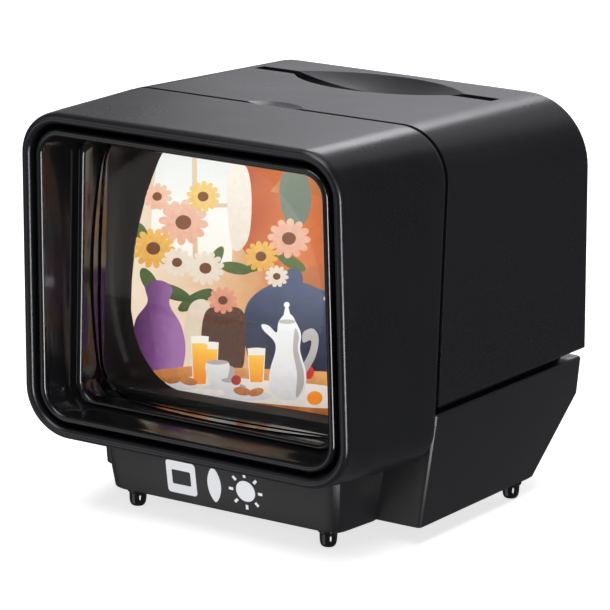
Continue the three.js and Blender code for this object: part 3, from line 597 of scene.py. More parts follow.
# the flange and the ground edge are painted black
for pl in lm.polygons:
    c_ = pl.center
    if abs(c_.x) > 27.62 * MM or abs(c_.z - AXIS_Z * MM) > 25.02 * MM or abs(pl.normal.y) < 0.3:
        pl.material_index = 1

# --------------------------------------------------------------------------
# rear shell
# --------------------------------------------------------------------------
SHELL_BOTTOM, SEAM_GAP, WALL = 27.7, 0.85, 2.0
SLOT_Y, SLOT_HALF, SLOT_T = 66.35, 26.8, 3.5
SY0, SY1 = SLOT_Y - SLOT_T / 2, SLOT_Y + SLOT_T / 2


def cropped(S, zb):
    """a housing section cut off at zb, left in the same leaning plane"""
    zm, zn = (15.74 + S["zt"]) / 2, (zb + S["zt"]) / 2
    return dict(S, zb=zb, rb=0.5, y=S["y"] + S["lean"] * (zn - zm), hw=S["hw"] * (1 + S["slope"] * (zn - zm) / S["hw"]))


def shell_rings(zb, inset, t0, t1, y0, y1, steps):
    F, R = cropped(SEAM, zb), cropped(REAR, zb)
    rings = [outline(F, inset, y0, 16)]
    for k in range(1, steps):
        rings.append(outline(between(F, R, k / steps), inset, 0, 16))
    rings.append(outline(R, inset, y1, 16))
    return rings


def sphere_cap(x, y, zc, R, rise, seg=128, n=16):
    a1 = math.acos((R - rise) / R)
    prof = [(0, zc - R)] + [(R * math.sin(a1 * i / n), zc - R * math.cos(a1 * i / n)) for i in range(1, n + 1)] + [(0, zc - R + rise)]
    return lathe(prof, x, y, seg)


def work(me, ops):
    """run a list of (operation, mesh) through exact booleans"""
    for op, vf in ops:
        me = boolean(me, [vf], op)
    return me


def as_mesh(vf, nm="tmp_part"):
    m_ = mesh_from(nm, *vf)
    return tidy(m_, 40)


def mesh_vf(me):
    return [(v.co.x / MM, v.co.y / MM - YS, v.co.z / MM) for v in me.vertices], [tuple(p.vertices) for p in me.polygons]


rF = math.hypot(22.1, 22.5)
rR = math.hypot(23.1, 75.0)
outer = as_mesh(skin(shell_rings(SHELL_BOTTOM, 0, 0, 1, SEAM_GAP, 0, 3)))
inner = skin(shell_rings(SHELL_BOTTOM - 10, WALL, 0, 1, -6, -WALL, 1))
well_pad = mesh_vf(boolean(as_mesh(sphere_cap(0, 78.1, 77.7 + 22.5, rF + 1.8, 15)), [boxmesh(-40, 40, 50, SY0, 60, 76.9)], "INTERSECT"))
scoop_pad = mesh_vf(boolean(as_mesh(sphere_cap(0, 54.0, 77.5 + 75, rR + 1.8, 9)), [boxmesh(-40, 40, SY1, 78.2, 60, 76.5)], "INTERSECT"))
well_cut = mesh_vf(boolean(as_mesh(sphere_cap(0, 78.1, 77.7 + 22.5, rF, 15)), [boxmesh(-40, 40, 40, SY0 + 0.5, 60, 95)], "INTERSECT"))
scoop_cut = mesh_vf(boolean(as_mesh(sphere_cap(0, 54.0, 77.5 + 75, rR, 9)), [boxmesh(-40, 40, SY1 - 0.5, 95, 60, 95)], "INTERSECT"))
shell = work(outer, [
    ("DIFFERENCE", inner),
    ("UNION", well_pad), ("UNION", scoop_pad),
    ("UNION", boxmesh(-SLOT_HALF - 1.6, SLOT_HALF + 1.6, SY0 - 1.6, SY1 + 1.6, 70.3, 76.6)),
    ("DIFFERENCE", well_cut), ("DIFFERENCE", scoop_cut),
    ("DIFFERENCE", boxmesh(-SLOT_HALF, SLOT_HALF, SY0, SY1, 60, 95)),
    ("DIFFERENCE", sphere_cap(0, 28.3, 78.57 + 38.1, 38.66, 2, 96, 10)),
])
for sx in (-1, 1):
    a, b = sorted((sx * 30.5, sx * 38.3))
    shell = work(shell, [("UNION", lathe([(0, 26.3), (3.1, 26.3), (3.1, 35), (0, 35)], sx * 30.5, 74.5, 32)),
                         ("UNION", boxmesh(a, b, 73.5, 75.5, 28.2, 35)),
                         ("DIFFERENCE", lathe([(0, 20), (1.45, 20), (1.45, 33.5), (0, 33.5)], sx * 30.5, 74.5, 24))])
bm = bmesh.new()
bm.from_mesh(shell)
bmesh.ops.remove_doubles(bm, verts=bm.verts, dist=2e-6)
bmesh.ops.dissolve_degenerate(bm, edges=bm.edges, dist=2e-6)
bmesh.ops.dissolve_limit(bm, angle_limit=math.radians(0.35), verts=bm.verts, edges=bm.edges)
bm.to_mesh(shell)
bm.free()
shell.polygons.foreach_set("use_smooth", [True] * len(shell.polygons))
shell.name = "rear_shell_skin"
shell_obj = add("rear_shell_skin", shell, M_HOUSING, "housing", "rear_shell", "housing_black")
md = shell_obj.modifiers.new("edge", "BEVEL")
md.width = 0.28 * MM
md.segments = 3
md.limit_method = "ANGLE"
md.angle_limit = math.radians(6.2)
md.harden_normals = True
md.use_clamp_overlap = True

# --------------------------------------------------------------------------
# base, cover and the plainer inner parts take the CAD shape with rounded edges
# --------------------------------------------------------------------------
refine("base_tub", M_BASE, 0.22, 2, 30, 40, slot="housing_black")
refine("battery_cover", M_BASE, 0.14, 2, 30, 40, body="battery_door", slot="housing_black")
refine("lens_retainer", M_MATT, 0.15, 1, 32, 40, slot="inner_black")
refine("image_tunnel", M_MATT, 0.15, 1, 32, 40, slot="inner_black")
refine("gate_frame", M_MATT, 0.25, 2, 32, 40, slot="inner_black")
refine("slide_carriage", M_MATT, 0.18, 2, 32, 40, body="carriage", slot="inner_black")
refine("diffuser_plate", M_OPAL, 0.25, 2, 32, 40, slot="opal_white")
refine("reflector_box", M_WHITE, 0.25, 2, 32, 40, slot="reflector_white")
refine("led_board", M_BOARD, 0.1, 1, 32, 40, slot="board_green")
refine("resistor", M_CHIP, 0.1, 2, 32, 40, slot="component_black")
refine("switch_block", M_NYLON, 0.3, 2, 32, 40, slot="insulator")
refine("switch_leaf", M_NICKEL, 0.08, 1, 32, 40, body="leaf", slot="nickel")
refine("switch_contact", M_NICKEL, 0.08, 1, 32, 40, slot="nickel")
for n_ in ("contact_positive", "contact_negative", "bridge_contact"):
    refine(n_, M_NICKEL, 0.08, 1, 32, 40, slot="nickel")
refine("slide_mount", M_MOUNT, 0.18, 2, 32, 40, body="slide", slot="mount_white")
refine("slide_film", M_FILM, 0.03, 1, 32, 40, body="slide", slot="film")

# cells
for nm, yc, flip in (("cell_front", 40.6, 1), ("cell_rear", 55.6, -1)):
    L2, R = 25.25, 7.15
    prof = [(0, -L2), (4.3, -L2)] + [(4.6, -L2 + 0.1), (4.7, -L2 + 0.3), (6.2, -L2 + 0.3)] + arc(6.45, -L2 + 1.0, 0.7, -90, 0, 5) + \
           [(R, -L2 + 1.4), (R, L2 - 2.3)] + arc(6.45, L2 - 2.0, 0.7, 0, 90, 5) + [(6.0, L2 - 1.35), (5.2, L2 - 1.5), (2.9, L2 - 1.45), (2.75, L2 - 1.2), (2.75, L2 - 0.35), (2.6, L2 - 0.08), (2.3, L2), (0, L2)]
    v, fc = lathe(prof, 0, 0, 56)
    v = [(z * flip, y, x) for x, y, z in v]
    me = mesh_from(nm + "_skin", [(a, b + yc, c + 12.85) for a, b, c in v], fc)
    tidy(me, 40)
    add(nm + "_skin", me, M_CELL, "housing", nm, "cell_jacket")


# springs as round wire
def coil_points(r0, r1, length, turns, flat, per=28):
    pts = []
    N = int(turns * per)
    for i in range(N + 1):
        u = turns * i / N
        if flat:
            lead = 0.55
            if u < flat:
                z = u * lead
            elif u > turns - flat:
                z = length - (turns - u) * lead
            else:
                z = flat * lead + (u - flat) / (turns - 2 * flat) * (length - 2 * flat * lead)
        else:
            z = length * u / turns
        r = r0 + (r1 - r0) * z / length
        pts.append((r * math.cos(2 * math.pi * u), r * math.sin(2 * math.pi * u), z))
    return pts


for nm, x in (("lift_spring_left", -18), ("lift_spring_right", 18)):
    pts = [(x + a, SLOT_Y + b, 7.75 + c) for a, b, c in coil_points(1.6, 1.6, 14.1, 7.5, 0.9)]
    me = mesh_from(nm + "_wire", *tube(pts, 0.2, 8))
    tidy(me, 60)
    o = add(nm + "_wire", me, M_STEEL, "housing", nm, "steel")
    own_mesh(o)
for nm, x0, sgn, yc in (("negative_spring", 27.45, -1, 55.6), ("bridge_spring", -27.45, 1, 40.6)):
    pts = [(x0 + sgn * c, yc + a, 12.85 + b) for a, b, c in coil_points(3.7, 2.0, 1.6, 2.75, 0)]
    me = mesh_from(nm + "_wire", *tube(pts, 0.22, 8))
    tidy(me, 60)
    add(nm + "_wire", me, M_STEEL, "housing", nm, "steel")

# lamps
for nm, x in (("led_left", -9), ("led_right", 9)):
    prof = [(0, 0), (1.7, 0), (1.75, 0.05), (1.75, 0.55), (1.7, 0.6), (1.5, 0.62), (1.5, 1.75)] + [(1.5 * math.cos(a), 1.75 + 1.5 * math.sin(a)) for a in (0.2, 0.4, 0.6, 0.8, 1.0, 1.2, 1.4)] + [(0, 3.25)]
    v, fc = lathe(prof, 0, 0, 32)
    me = mesh_from(nm + "_skin", [(x + a, 76.35 - c, AXIS_Z + b) for a, b, c in v], fc)
    tidy(me, 40)
    add(nm + "_skin", me, M_LED, "housing", nm, "led_lamp")

# wires
WIRES = {
    "wire_red": ([(12, 78.1, 43.2), (12, 78.2, 37), (14, 77.7, 30), (23.6, 77.6, 25.4), (26.2, 73.6, 24.2), (27.4, 70.3, 24.2), (31.1, 67.6, 24.7), (31.3, 62, 24.8), (31.3, 48, 24.8), (30.6, 43, 24.4), (28.75, 40.9, 24.0)], M_RED, "wire_red"),
    "wire_black": ([(-12, 78.1, 43.2), (-12, 78.2, 37), (-8, 78.1, 31), (4, 77.9, 26.8), (16, 77.2, 22.5), (21, 75.8, 19.8), (21.8, 73.8, 18.4), (21.8, 72.3, 17.75)], M_BLACKWIRE, "wire_black"),
    "wire_contact": ([(16.4, 70.1, 10.5), (15.2, 69.2, 14), (20, 68.8, 18.8), (27, 69.3, 21.0), (31.4, 68.6, 21.4), (32.4, 64, 21.4), (32.4, 60, 21.6), (30.8, 57.4, 22.7), (28.75, 55.9, 23.6)], M_BLACKWIRE, "wire_black"),
}
for nm, (pts, mt, sl) in WIRES.items():
    me = mesh_from(nm + "_sleeve", *tube(catmull(pts, 8), 0.5, 12))
    tidy(me, 60)
    add(nm + "_sleeve", me, mt, "housing", nm, sl)


# screws
def screw(nm, headR, headH, shankR, length, place, body="housing"):
    hz = headH * 0.8
    prof = [(0, 0), (headR * 0.70, 0.02), (headR * 0.86, headH * 0.08), (headR * 0.97, headH * 0.25), (headR, headH * 0.42), (headR, hz - 0.06), (headR - 0.06, hz), (shankR, hz)]
    z = hz + 0.5
    pitch = max(0.55, shankR * 0.75)
    while z < hz + length - 1.0:
        prof += [(shankR, z), (shankR * 0.80, z + pitch * 0.35), (shankR * 0.80, z + pitch * 0.6)]
        z += pitch
    prof += [(shankR * 0.9, hz + length - 0.9), (shankR * 0.35, hz + length - 0.1), (0, hz + length)]
    v, fc = lathe(prof, 0, 0, 32)
    me = mesh_from(nm + "_skin", v, fc, shift=False)
    tidy(me, 40)
    sl, ln = headR * 0.17, headR * 0.60
    me2 = bpy.data.meshes.new(nm)
    cutters = []
    for bx in (boxmesh(-ln, ln, -sl, sl, -1, headH * 0.5), boxmesh(-sl, sl, -ln, ln, -1, headH * 0.5)):
        cutters.append(([(a, b - YS, c) for a, b, c in bx[0]], bx[1]))
    me = boolean(me, cutters)
    me.name = nm + "_skin"
    for vt in me.vertices:
        vt.co = place(vt.co)
    tidy(me, 36)
    add(nm + "_skin", me, M_STEEL, body, nm, "steel")


def to_rear(x, y, z):
    return lambda co: Vector((co.x + x * MM, (y + YS) * MM - co.z, co.y + z * MM))


def upward(x, y, z):
    return lambda co: Vector((co.x + x * MM, co.y + (y + YS) * MM, co.z + z * MM))


for nm, x, z in (("retainer_screw_bl", -31.7, 27), ("retainer_screw_br", 31.7, 27), ("retainer_screw_tl", -31.7, 67), ("retainer_screw_tr", 31.7, 67)):
    screw(nm, 1.9, 1.3, 0.7, 3.4, to_rear(x, 21.3, z))
for nm, x in (("board_screw_left", -18), ("board_screw_right", 18)):
    screw(nm, 1.8, 1.2, 0.7, 2.6, to_rear(x, 78.8, AXIS_Z))
for nm, x in (("hood_screw_left", -14), ("hood_screw_right", 14)):
    screw(nm, 2.35, 1.9, 1.2, 9.6, upward(x, 23.6, 8.85))
for nm, x in (("shell_screw_left", -30.5), ("shell_screw_right", 30.5)):
    screw(nm, 2.35, 1.9, 1.2, 17, upward(x, 74.5, 11.85))

# feet
for nm, x, y in (("foot_front_left", -21.45, 19.1), ("foot_front_right", 21.45, 19.1), ("foot_rear_left", -33.2, 67.0), ("foot_rear_right", 33.2, 67.0)):
    prof = [(0, 0), (0.85, 0), (1.05, 0.06), (1.25, 0.2), (1.42, 0.44), (1.54, 0.8), (1.62, 1.3), (1.66, 1.9), (1.68, 2.5), (1.72, 2.68), (1.86, 2.78),
            (1.98, 2.86), (2.04, 3.0), (2.05, 3.2), (2.03, 3.34), (1.95, 3.4), (0.95, 3.4), (0.95, 6.8), (0.8, 7.0), (0, 7.0)]
    me = mesh_from(nm + "_skin", *lathe(prof, x, y, 48))
    tidy(me, 46)
    add(nm + "_skin", me, M_FOOT, "housing", nm, "gloss_black")

# --------------------------------------------------------------------------
# the picture: a self-glowing sheet in the tunnel just behind the lens, painted light standing in for the slide lit by
# the lamps behind it, with a still life built of thin coloured shapes, each laid where the camera looks for it
# --------------------------------------------------------------------------
SHEET_Y = 30.0


def sphere_hit(p, v, c, R, near):
    o = p - c
    b = o.dot(v)
    q = b * b - (o.dot(o) - R * R)
    t = -b - math.sqrt(q) if near else -b + math.sqrt(q)
    return p + v * t


def bend(v, n, n1, n2):
    c = -n.dot(v)
    if c < 0:
        n, c = -n, -c
    k = n1 / n2
    q = max(0.0, 1 - k * k * (1 - c * c))
    return k * v + (k * c - math.sqrt(q)) * n


def seen(px, py):
    """point (x, z) of the sheet that shows at px, py of a 610 wide view"""
    o = Vector((loc.x / MM, loc.y / MM - YS, loc.z / MM))
    v = ((px - 305) / FPX * r2 - (py - 305) / FPX * u2 - back).normalized()
    c1 = Vector((0, LENS_Y - LHT + LENS_R, AXIS_Z))
    c2 = Vector((0, LENS_Y + LHT - LENS_R, AXIS_Z))
    a = sphere_hit(o, v, c1, LENS_R, True)
    w1 = bend(v, (a - c1).normalized(), 1, LENS_IOR)
    b = sphere_hit(a, w1, c2, LENS_R, False)
    w2 = bend(w1, (b - c2).normalized(), LENS_IOR, 1)
    e = b + w2 * ((SHEET_Y - b.y) / w2.y)
    return e.x, e.z


def lin(c):
    return tuple((v / 255 / 12.92) if v / 255 < 0.04045 else ((v / 255 + 0.055) / 1.055) ** 2.4 for v in c)


def glow(name, stops, axis=2, lo=24.0, hi=70.0, mottling=0.18, scale=260, strength=1.0):
    """emitted colour, painted light standing in for the backlit slide: a gradient along one axis, broken up by noise"""
    mt, nt, bs = new_mat(name)
    v = coords(nt)
    sep = nt.nodes.new("ShaderNodeSeparateXYZ")
    nt.links.new(v, sep.inputs[0])
    n = tex_noise(nt, v, scale, 3, 0.55, 0.6)
    g = map_range(nt, sep.outputs[axis], lo * MM, hi * MM, 0, 1)
    ad = nt.nodes.new("ShaderNodeMath")
    ad.operation = "MULTIPLY_ADD"
    nt.links.new(n, ad.inputs[0])
    ad.inputs[1].default_value = mottling * 2
    nt.links.new(g, ad.inputs[2])
    sh = nt.nodes.new("ShaderNodeMath")
    sh.operation = "SUBTRACT"
    nt.links.new(ad.outputs[0], sh.inputs[0])
    sh.inputs[1].default_value = mottling
    col = ramp(nt, sh.outputs[0], [(q, lin(c)) for q, c in stops])
    # painted light: the picture glows by its own emission, standing in for the slide lit from behind
    nt.links.new(col, bs.inputs["Emission Color"])
    bs.inputs["Emission Strength"].default_value = strength
    bs.inputs["Base Color"].default_value = (0.01, 0.01, 0.01, 1)
    bs.inputs["Roughness"].default_value = 0.6
    return mt


G_BACK = glow("glow_room", [(0.0, (246, 226, 198)), (0.25, (238, 208, 178)), (0.42, (228, 176, 128)), (0.55, (214, 130, 70)), (0.75, (176, 88, 44)), (1.0, (226, 178, 132))], 0, -27, 27, 0.14, 90)
G_WINDOW = glow("glow_window", [(0.0, (252, 240, 222)), (0.6, (255, 252, 244)), (1.0, (240, 244, 240))], 2, 40, 66, 0.1, 160)
G_SILL = glow("glow_sill", [(0.0, (222, 180, 140)), (1.0, (240, 214, 184))], 2, 40, 66, 0.1, 300)
G_RUST = glow("glow_curtain", [(0.0, (196, 92, 44)), (0.5, (228, 126, 62)), (1.0, (180, 74, 40))], 0, -4, 16, 0.22, 240)
G_TEAL = glow("glow_teal", [(0.0, (92, 112, 104)), (1.0, (140, 150, 132))], 2, 40, 66, 0.2, 300)
G_GOLD = glow("glow_gold_petals", [(0.0, (206, 132, 46)), (0.5, (240, 184, 86)), (1.0, (252, 222, 140))], 2, 36, 64, 0.3, 900)
G_PEACH = glow("glow_peach_petals", [(0.0, (214, 128, 98)), (0.5, (238, 176, 146)), (1.0, (252, 214, 190))], 2, 36, 64, 0.3, 900)
G_CREAM = glow("glow_cream_petals", [(0.0, (226, 206, 180)), (1.0, (255, 246, 232))], 2, 36, 64, 0.3, 900)
G_HEART = glow("glow_flower_heart", [(0.0, (92, 48, 24)), (1.0, (146, 86, 40))], 2, 36, 64, 0.4, 1800)
G_LEAF = glow("glow_leaf", [(0.0, (52, 74, 34)), (1.0, (118, 140, 66))], 2, 36, 64, 0.3, 900)
G_VASE = glow("glow_purple_vase", [(0.0, (58, 30, 66)), (0.5, (112, 62, 118)), (1.0, (158, 108, 164))], 0, -26, -17, 0.16, 600)
G_NAVY = glow("glow_navy_pot", [(0.0, (28, 32, 50)), (0.5, (48, 56, 84)), (1.0, (84, 94, 124))], 2, 32, 46, 0.16, 500)
G_BROWN = glow("glow_basket", [(0.0, (74, 40, 22)), (0.5, (128, 76, 40)), (1.0, (168, 112, 62))], 2, 36, 60, 0.5, 1400)
G_WOOD = glow("glow_table", [(0.0, (120, 62, 26)), (0.5, (192, 118, 56)), (1.0, (226, 164, 96))], 2, 22, 32, 0.34, 500)
G_CLOTH = glow("glow_cloth", [(0.0, (206, 196, 186)), (1.0, (250, 244, 236))], 2, 24, 34, 0.2, 600)
G_WHITE = glow("glow_porcelain", [(0.0, (186, 182, 182)), (0.45, (236, 234, 232)), (1.0, (255, 255, 254))], 2, 24, 42, 0.10, 500)
G_SHADE = glow("glow_porcelain_shade", [(0.0, (150, 142, 140)), (1.0, (206, 200, 196))], 2, 24, 42, 0.12, 500)
G_JUICE = glow("glow_juice", [(0.0, (232, 132, 20)), (0.6, (250, 180, 44)), (1.0, (255, 214, 96))], 2, 27, 34, 0.12, 900)
G_GLASS = glow("glow_glass_rim", [(0.0, (226, 214, 198)), (1.0, (250, 246, 238))], 2, 27, 36, 0.1, 900)
G_BREAD = glow("glow_bread", [(0.0, (150, 82, 30)), (0.5, (206, 136, 62)), (1.0, (238, 188, 112))], 2, 25, 31, 0.35, 1500)
G_RED = glow("glow_jam", [(0.0, (120, 18, 14)), (1.0, (196, 48, 32))], 2, 25, 31, 0.3, 1500)

sheet_parts = {}
# half width of the sheet at each height: straight sides bowed, corners round
edge = [(24.2, 16.4), (24.5, 17.6), (24.9, 18.6), (25.5, 19.8), (26.2, 20.8), (27.0, 21.75), (28.0, 22.6), (29.0, 23.4), (30.0, 24.1), (33.0, 25.4), (36.8, 26.2), (42.0, 26.15), (47.3, 25.75), (52.0, 25.1), (56.1, 24.2),
        (60.0, 23.1), (63.4, 21.9), (66.0, 20.4), (68.4, 18.2), (69.6, 16.0)]


def inside(x, z):
    """a point moved to the edge of the sheet if it lies beyond it"""
    z = min(max(z, edge[0][0]), edge[-1][0])
    for (z0, w0), (z1, w1) in zip(edge, edge[1:]):
        if z <= z1:
            w = w0 + (w1 - w0) * (z - z0) / (z1 - z0)
            break
    return min(max(x, -w), w), z



def flat(mt, pts, layer):
    """a shape on the sheet, pts as (x, z) in mm"""
    vs, fs = sheet_parts.setdefault(mt.name, ([], []))
    k = len(vs)
    pts = [inside(x, z) for x, z in pts]
    vs += [(x, SHEET_Y - 0.03 * layer, z) for x, z in pts]
    fs.append(tuple(range(k, k + len(pts))))


def shape(mt, pts, layer, smooth=True):
    P = [Vector((a, b, 0)) for a, b in pts]
    if smooth:
        out, n = [], len(P)
        for i in range(n):
            a, b, c, d = P[i - 1], P[i], P[(i + 1) % n], P[(i + 2) % n]
            for j in range(6):
                t = j / 6
                out.append(0.5 * ((2 * b) + (c - a) * t + (2 * a - 5 * b + 4 * c - d) * t * t + (3 * b - a - 3 * c + d) * t ** 3))
        P = out
    else:
        P = [p + (P[(i + 1) % len(P)] - p) * j / 16 for i, p in enumerate(P) for j in range(16)]
    flat(mt, [seen(q.x, q.y) for q in P], layer)


def oval(mt, cx, cy, rx, ry, layer, a=0, n=32):
    ca, sa = math.cos(math.radians(a)), math.sin(math.radians(a))
    flat(mt, [seen(cx + rx * math.cos(t) * ca - ry * math.sin(t) * sa, cy + rx * math.cos(t) * sa + ry * math.sin(t) * ca) for t in (2 * math.pi * i / n for i in range(n))], layer)


def flower(mt, cx, cy, r, layer, petals=11, turn=0, heart=0.32):
    pts = []
    for i in range(petals * 8):
        t = 2 * math.pi * i / (petals * 8) + turn
        k = r * (0.70 + 0.30 * abs(math.cos((t - turn) * petals / 2)) ** 0.6)
        pts.append(seen(cx + k * math.cos(t), cy + 0.92 * k * math.sin(t)))
    flat(mt, pts, layer)
    oval(G_HEART, cx, cy, r * heart, r * heart * 0.9, layer + 1)


flat(G_BACK, [(x, z) for z, x in edge] + [(-x, z) for z, x in reversed(edge)], 0)
shape(G_WINDOW, [(158, 150), (196, 148), (232, 150), (234, 205), (232, 262), (196, 268), (150, 262), (152, 205)], 1, False)
shape(G_SILL, [(192, 148), (197, 148), (198, 268), (193, 268)], 2, False)
shape(G_SILL, [(151, 205), (234, 203), (234, 207), (151, 209)], 2, False)
shape(G_RUST, [(236, 150), (262, 146), (300, 150), (330, 160), (332, 250), (300, 268), (262, 262), (240, 240)], 1)
shape(G_TEAL, [(284, 172), (304, 170), (312, 196), (306, 222), (290, 226), (280, 200)], 2)
shape(G_CREAM, [(228, 172), (246, 166), (252, 198), (248, 240), (232, 246)], 3)
# flowers and leaves
for q in ((150, 282, 16, 7, 60), (172, 292, 20, 7, 20), (196, 300, 20, 7, -30), (214, 262, 18, 6, -60), (143, 236, 14, 6, 70), (236, 268, 16, 6, 10), (262, 262, 18, 6, -30), (292, 262, 16, 6, 30)):
    oval(G_LEAF, q[0], q[1], q[2], q[3], 4, q[4])
flower(G_CREAM, 206, 268, 19, 5, 13, 0.3)
flower(G_PEACH, 184, 222, 25, 6, 12, 0.1)
flower(G_GOLD, 154, 248, 22, 8, 14, 0.5)
flower(G_GOLD, 204, 196, 17, 8, 13, 0.9)
flower(G_PEACH, 158, 196, 15, 9, 11, 0.2)
flower(G_CREAM, 178, 262, 16, 10, 12, 0.7)
flower(G_PEACH, 224, 300, 15, 10, 11, 0.4)
flower(G_GOLD, 262, 256, 17, 8, 13, 0.2)
flower(G_PEACH, 290, 238, 22, 6, 12, 0.6)
flower(G_CREAM, 278, 276, 12, 9, 11, 0.1)
# purple vase, dark pot, basket
shape(G_VASE, [(146, 286), (160, 280), (173, 288), (170, 304), (182, 326), (186, 352), (178, 380), (158, 386), (142, 372), (134, 344), (136, 320), (148, 302)], 7)
shape(G_BROWN, [(206, 312), (224, 306), (244, 312), (246, 346), (240, 372), (212, 372), (202, 346)], 6)
shape(G_CREAM, [(190, 306), (206, 300), (216, 322), (214, 366), (192, 372), (184, 340)], 5)
shape(G_NAVY, [(250, 300), (268, 286), (290, 280), (314, 286), (334, 300), (338, 344), (326, 378), (262, 378), (246, 346), (244, 320)], 5)
shape(G_NAVY, [(284, 282), (288, 270), (300, 270), (303, 282)], 5)
# table and cloth
shape(G_WOOD, [(140, 372), (190, 366), (250, 368), (340, 372), (340, 436), (250, 430), (150, 420)], 11, False)
shape(G_CLOTH, [(158, 384), (200, 376), (262, 380), (338, 388), (338, 408), (250, 402), (176, 398)], 12)
# glasses of juice
for cx, top, bot, w in ((201, 340, 386, 8), (213, 346, 380, 6), (258, 352, 384, 8)):
    shape(G_GLASS, [(cx - w - 1, top - 4), (cx + w + 1, top - 4), (cx + w - 1, bot), (cx - w + 1, bot)], 13, False)
    shape(G_JUICE, [(cx - w, top + 3), (cx + w, top + 3), (cx + w - 2, bot - 2), (cx - w + 2, bot - 2)], 14, False)
    oval(G_GLASS, cx, top - 3, w + 1, 1.6, 15)
# cups
for cx, cy, w, h in ((219, 374, 11, 12), (232, 388, 9, 8)):
    shape(G_SHADE, [(cx + w - 1, cy - h + 4), (cx + w + 6, cy - h + 6), (cx + w + 5, cy + 2), (cx + w - 2, cy + 4)], 15)
    shape(G_WHITE, [(cx - w, cy - h), (cx + w, cy - h), (cx + w - 2, cy + h - 5), (cx + 3, cy + h), (cx - 3, cy + h), (cx - w + 2, cy + h - 5)], 16)
    oval(G_SHADE, cx, cy - h, w, 2.4, 17)
    oval(G_WHITE, cx, cy + h + 1, w + 5, 2.6, 15)
# bread, fruit, jam
oval(G_WHITE, 183, 385, 21, 4.6, 13)
for q in ((176, 379, 9, 4.2, -14), (190, 381, 9, 4.0, 12), (183, 375, 7, 3.6, 4)):
    oval(G_BREAD, q[0], q[1], q[2], q[3], 18, q[4])
oval(G_WHITE, 252, 396, 22, 4.6, 13)
for q in ((244, 391, 9, 4.2, 10), (258, 392, 8, 4.0, -14)):
    oval(G_BREAD, q[0], q[1], q[2], q[3], 18, q[4])
oval(G_RED, 238, 380, 5, 5, 18)
oval(G_RED, 311, 372, 6, 7, 18)
oval(G_JUICE, 318, 398, 8, 7, 18)
# white coffee pot
shape(G_SHADE, [(306, 332), (316, 328), (322, 338), (318, 358), (306, 376), (302, 372), (312, 352), (314, 340), (306, 342)], 19)
shape(G_WHITE, [(281, 322), (287, 314), (294, 314), (299, 322), (304, 334), (303, 350), (309, 372), (308, 390), (300, 399), (282, 399), (273, 390), (272, 372), (278, 350), (276, 340), (266, 330), (264, 324), (271, 325), (279, 332)], 20)
shape(G_SHADE, [(298, 328), (302, 336), (301, 350), (307, 372), (306, 388), (299, 397), (300, 374), (296, 350)], 21)
oval(G_SHADE, 290, 321, 9, 2.2, 22)
shape(G_WHITE, [(287, 316), (288, 308), (290, 305), (292, 308), (293, 316)], 23)
oval(G_WHITE, 290, 304, 3, 3, 24)
# the half away from the camera: more of the room, seen when looking from the front
for q in ((14, 44, 3.2), (18.5, 49, 3.8), (21, 41, 2.8), (16.5, 55, 3.0)):
    mt_ = (G_GOLD, G_PEACH, G_CREAM, G_GOLD)[int(q[0]) % 4]
    flat(mt_, [(q[0] + q[2] * (0.72 + 0.28 * abs(math.cos(t * 6))) * math.cos(t), q[1] + q[2] * (0.72 + 0.28 * abs(math.cos(t * 6))) * math.sin(t)) for t in (2 * math.pi * i / 96 for i in range(96))], 6)
    flat(G_HEART, [(q[0] + q[2] * 0.3 * math.cos(t), q[1] + q[2] * 0.3 * math.sin(t)) for t in (2 * math.pi * i / 24 for i in range(24))], 7)
flat(G_VASE, [(15, 30), (20, 30), (21.5, 34), (19.5, 39), (18.5, 41), (16.5, 41), (15.2, 39), (13.6, 34)], 8)
flat(G_WOOD, [(10, 25.0), (19.5, 25.0), (22.5, 28.2), (23.6, 29.6), (10, 29.6)], 11)

# each picture piece is a self-glowing sheet, painted light rather than a lamp
for k, (nm, (vs, fs)) in enumerate(sorted(sheet_parts.items())):
    me = mesh_from("picture_" + nm[5:], vs, fs)
    me.polygons.foreach_set("use_smooth", [False] * len(me.polygons))
    add("picture_" + nm[5:], me, bpy.data.materials[nm], "housing", slot="opal_white")

# --------------------------------------------------------------------------
# plain pictogram on the neck: slide, lens, lamp
# --------------------------------------------------------------------------
M_MARK = plastic("pad_print_grey", (0.80, 0.81, 0.84), (0.88, 0.89, 0.92), (0.40, 0.52), 2600, 0.006, 0.4)


def on_neck(x, z, proud=0.05):
    return (x, 15.8 - (z - 3.57) * (2.4 / 11.83) - proud, z)


def stamp(outline_pts, hole=None):
    n = len(outline_pts)
    vs, fs = [on_neck(*q) for q in outline_pts], []
    if hole:
        vs += [on_neck(*q) for q in hole]
        fs = [(i, (i + 1) % n, n + (i + 1) % n, n + i) for i in range(n)]
    else:
        fs = [tuple(range(n))]
    back_ = [(x, y + 0.045, z) for x, y, z in vs]
    m_ = len(vs)
    allv = vs + back_
    allf = fs + [tuple(reversed([m_ + i for i in f_])) for f_ in fs]
    allf += [((i + 1) % n, i, m_ + i, m_ + (i + 1) % n) for i in range(n)]
    if hole:
        allf += [(n + i, n + (i + 1) % n, m_ + n + (i + 1) % n, m_ + n + i) for i in range(n)]
    return allv, allf


def rrect(cx, cz, hw, hh, r, n=6):
    return [(cx + sx * (hw - r) + r * math.cos(math.radians(a0 + 90 * i / n)), cz + sz * (hh - r) + r * math.sin(math.radians(a0 + 90 * i / n)))
            for sx, sz, a0 in ((1, 1, 0), (-1, 1, 90), (-1, -1, 180), (1, -1, 270)) for i in range(n + 1)]


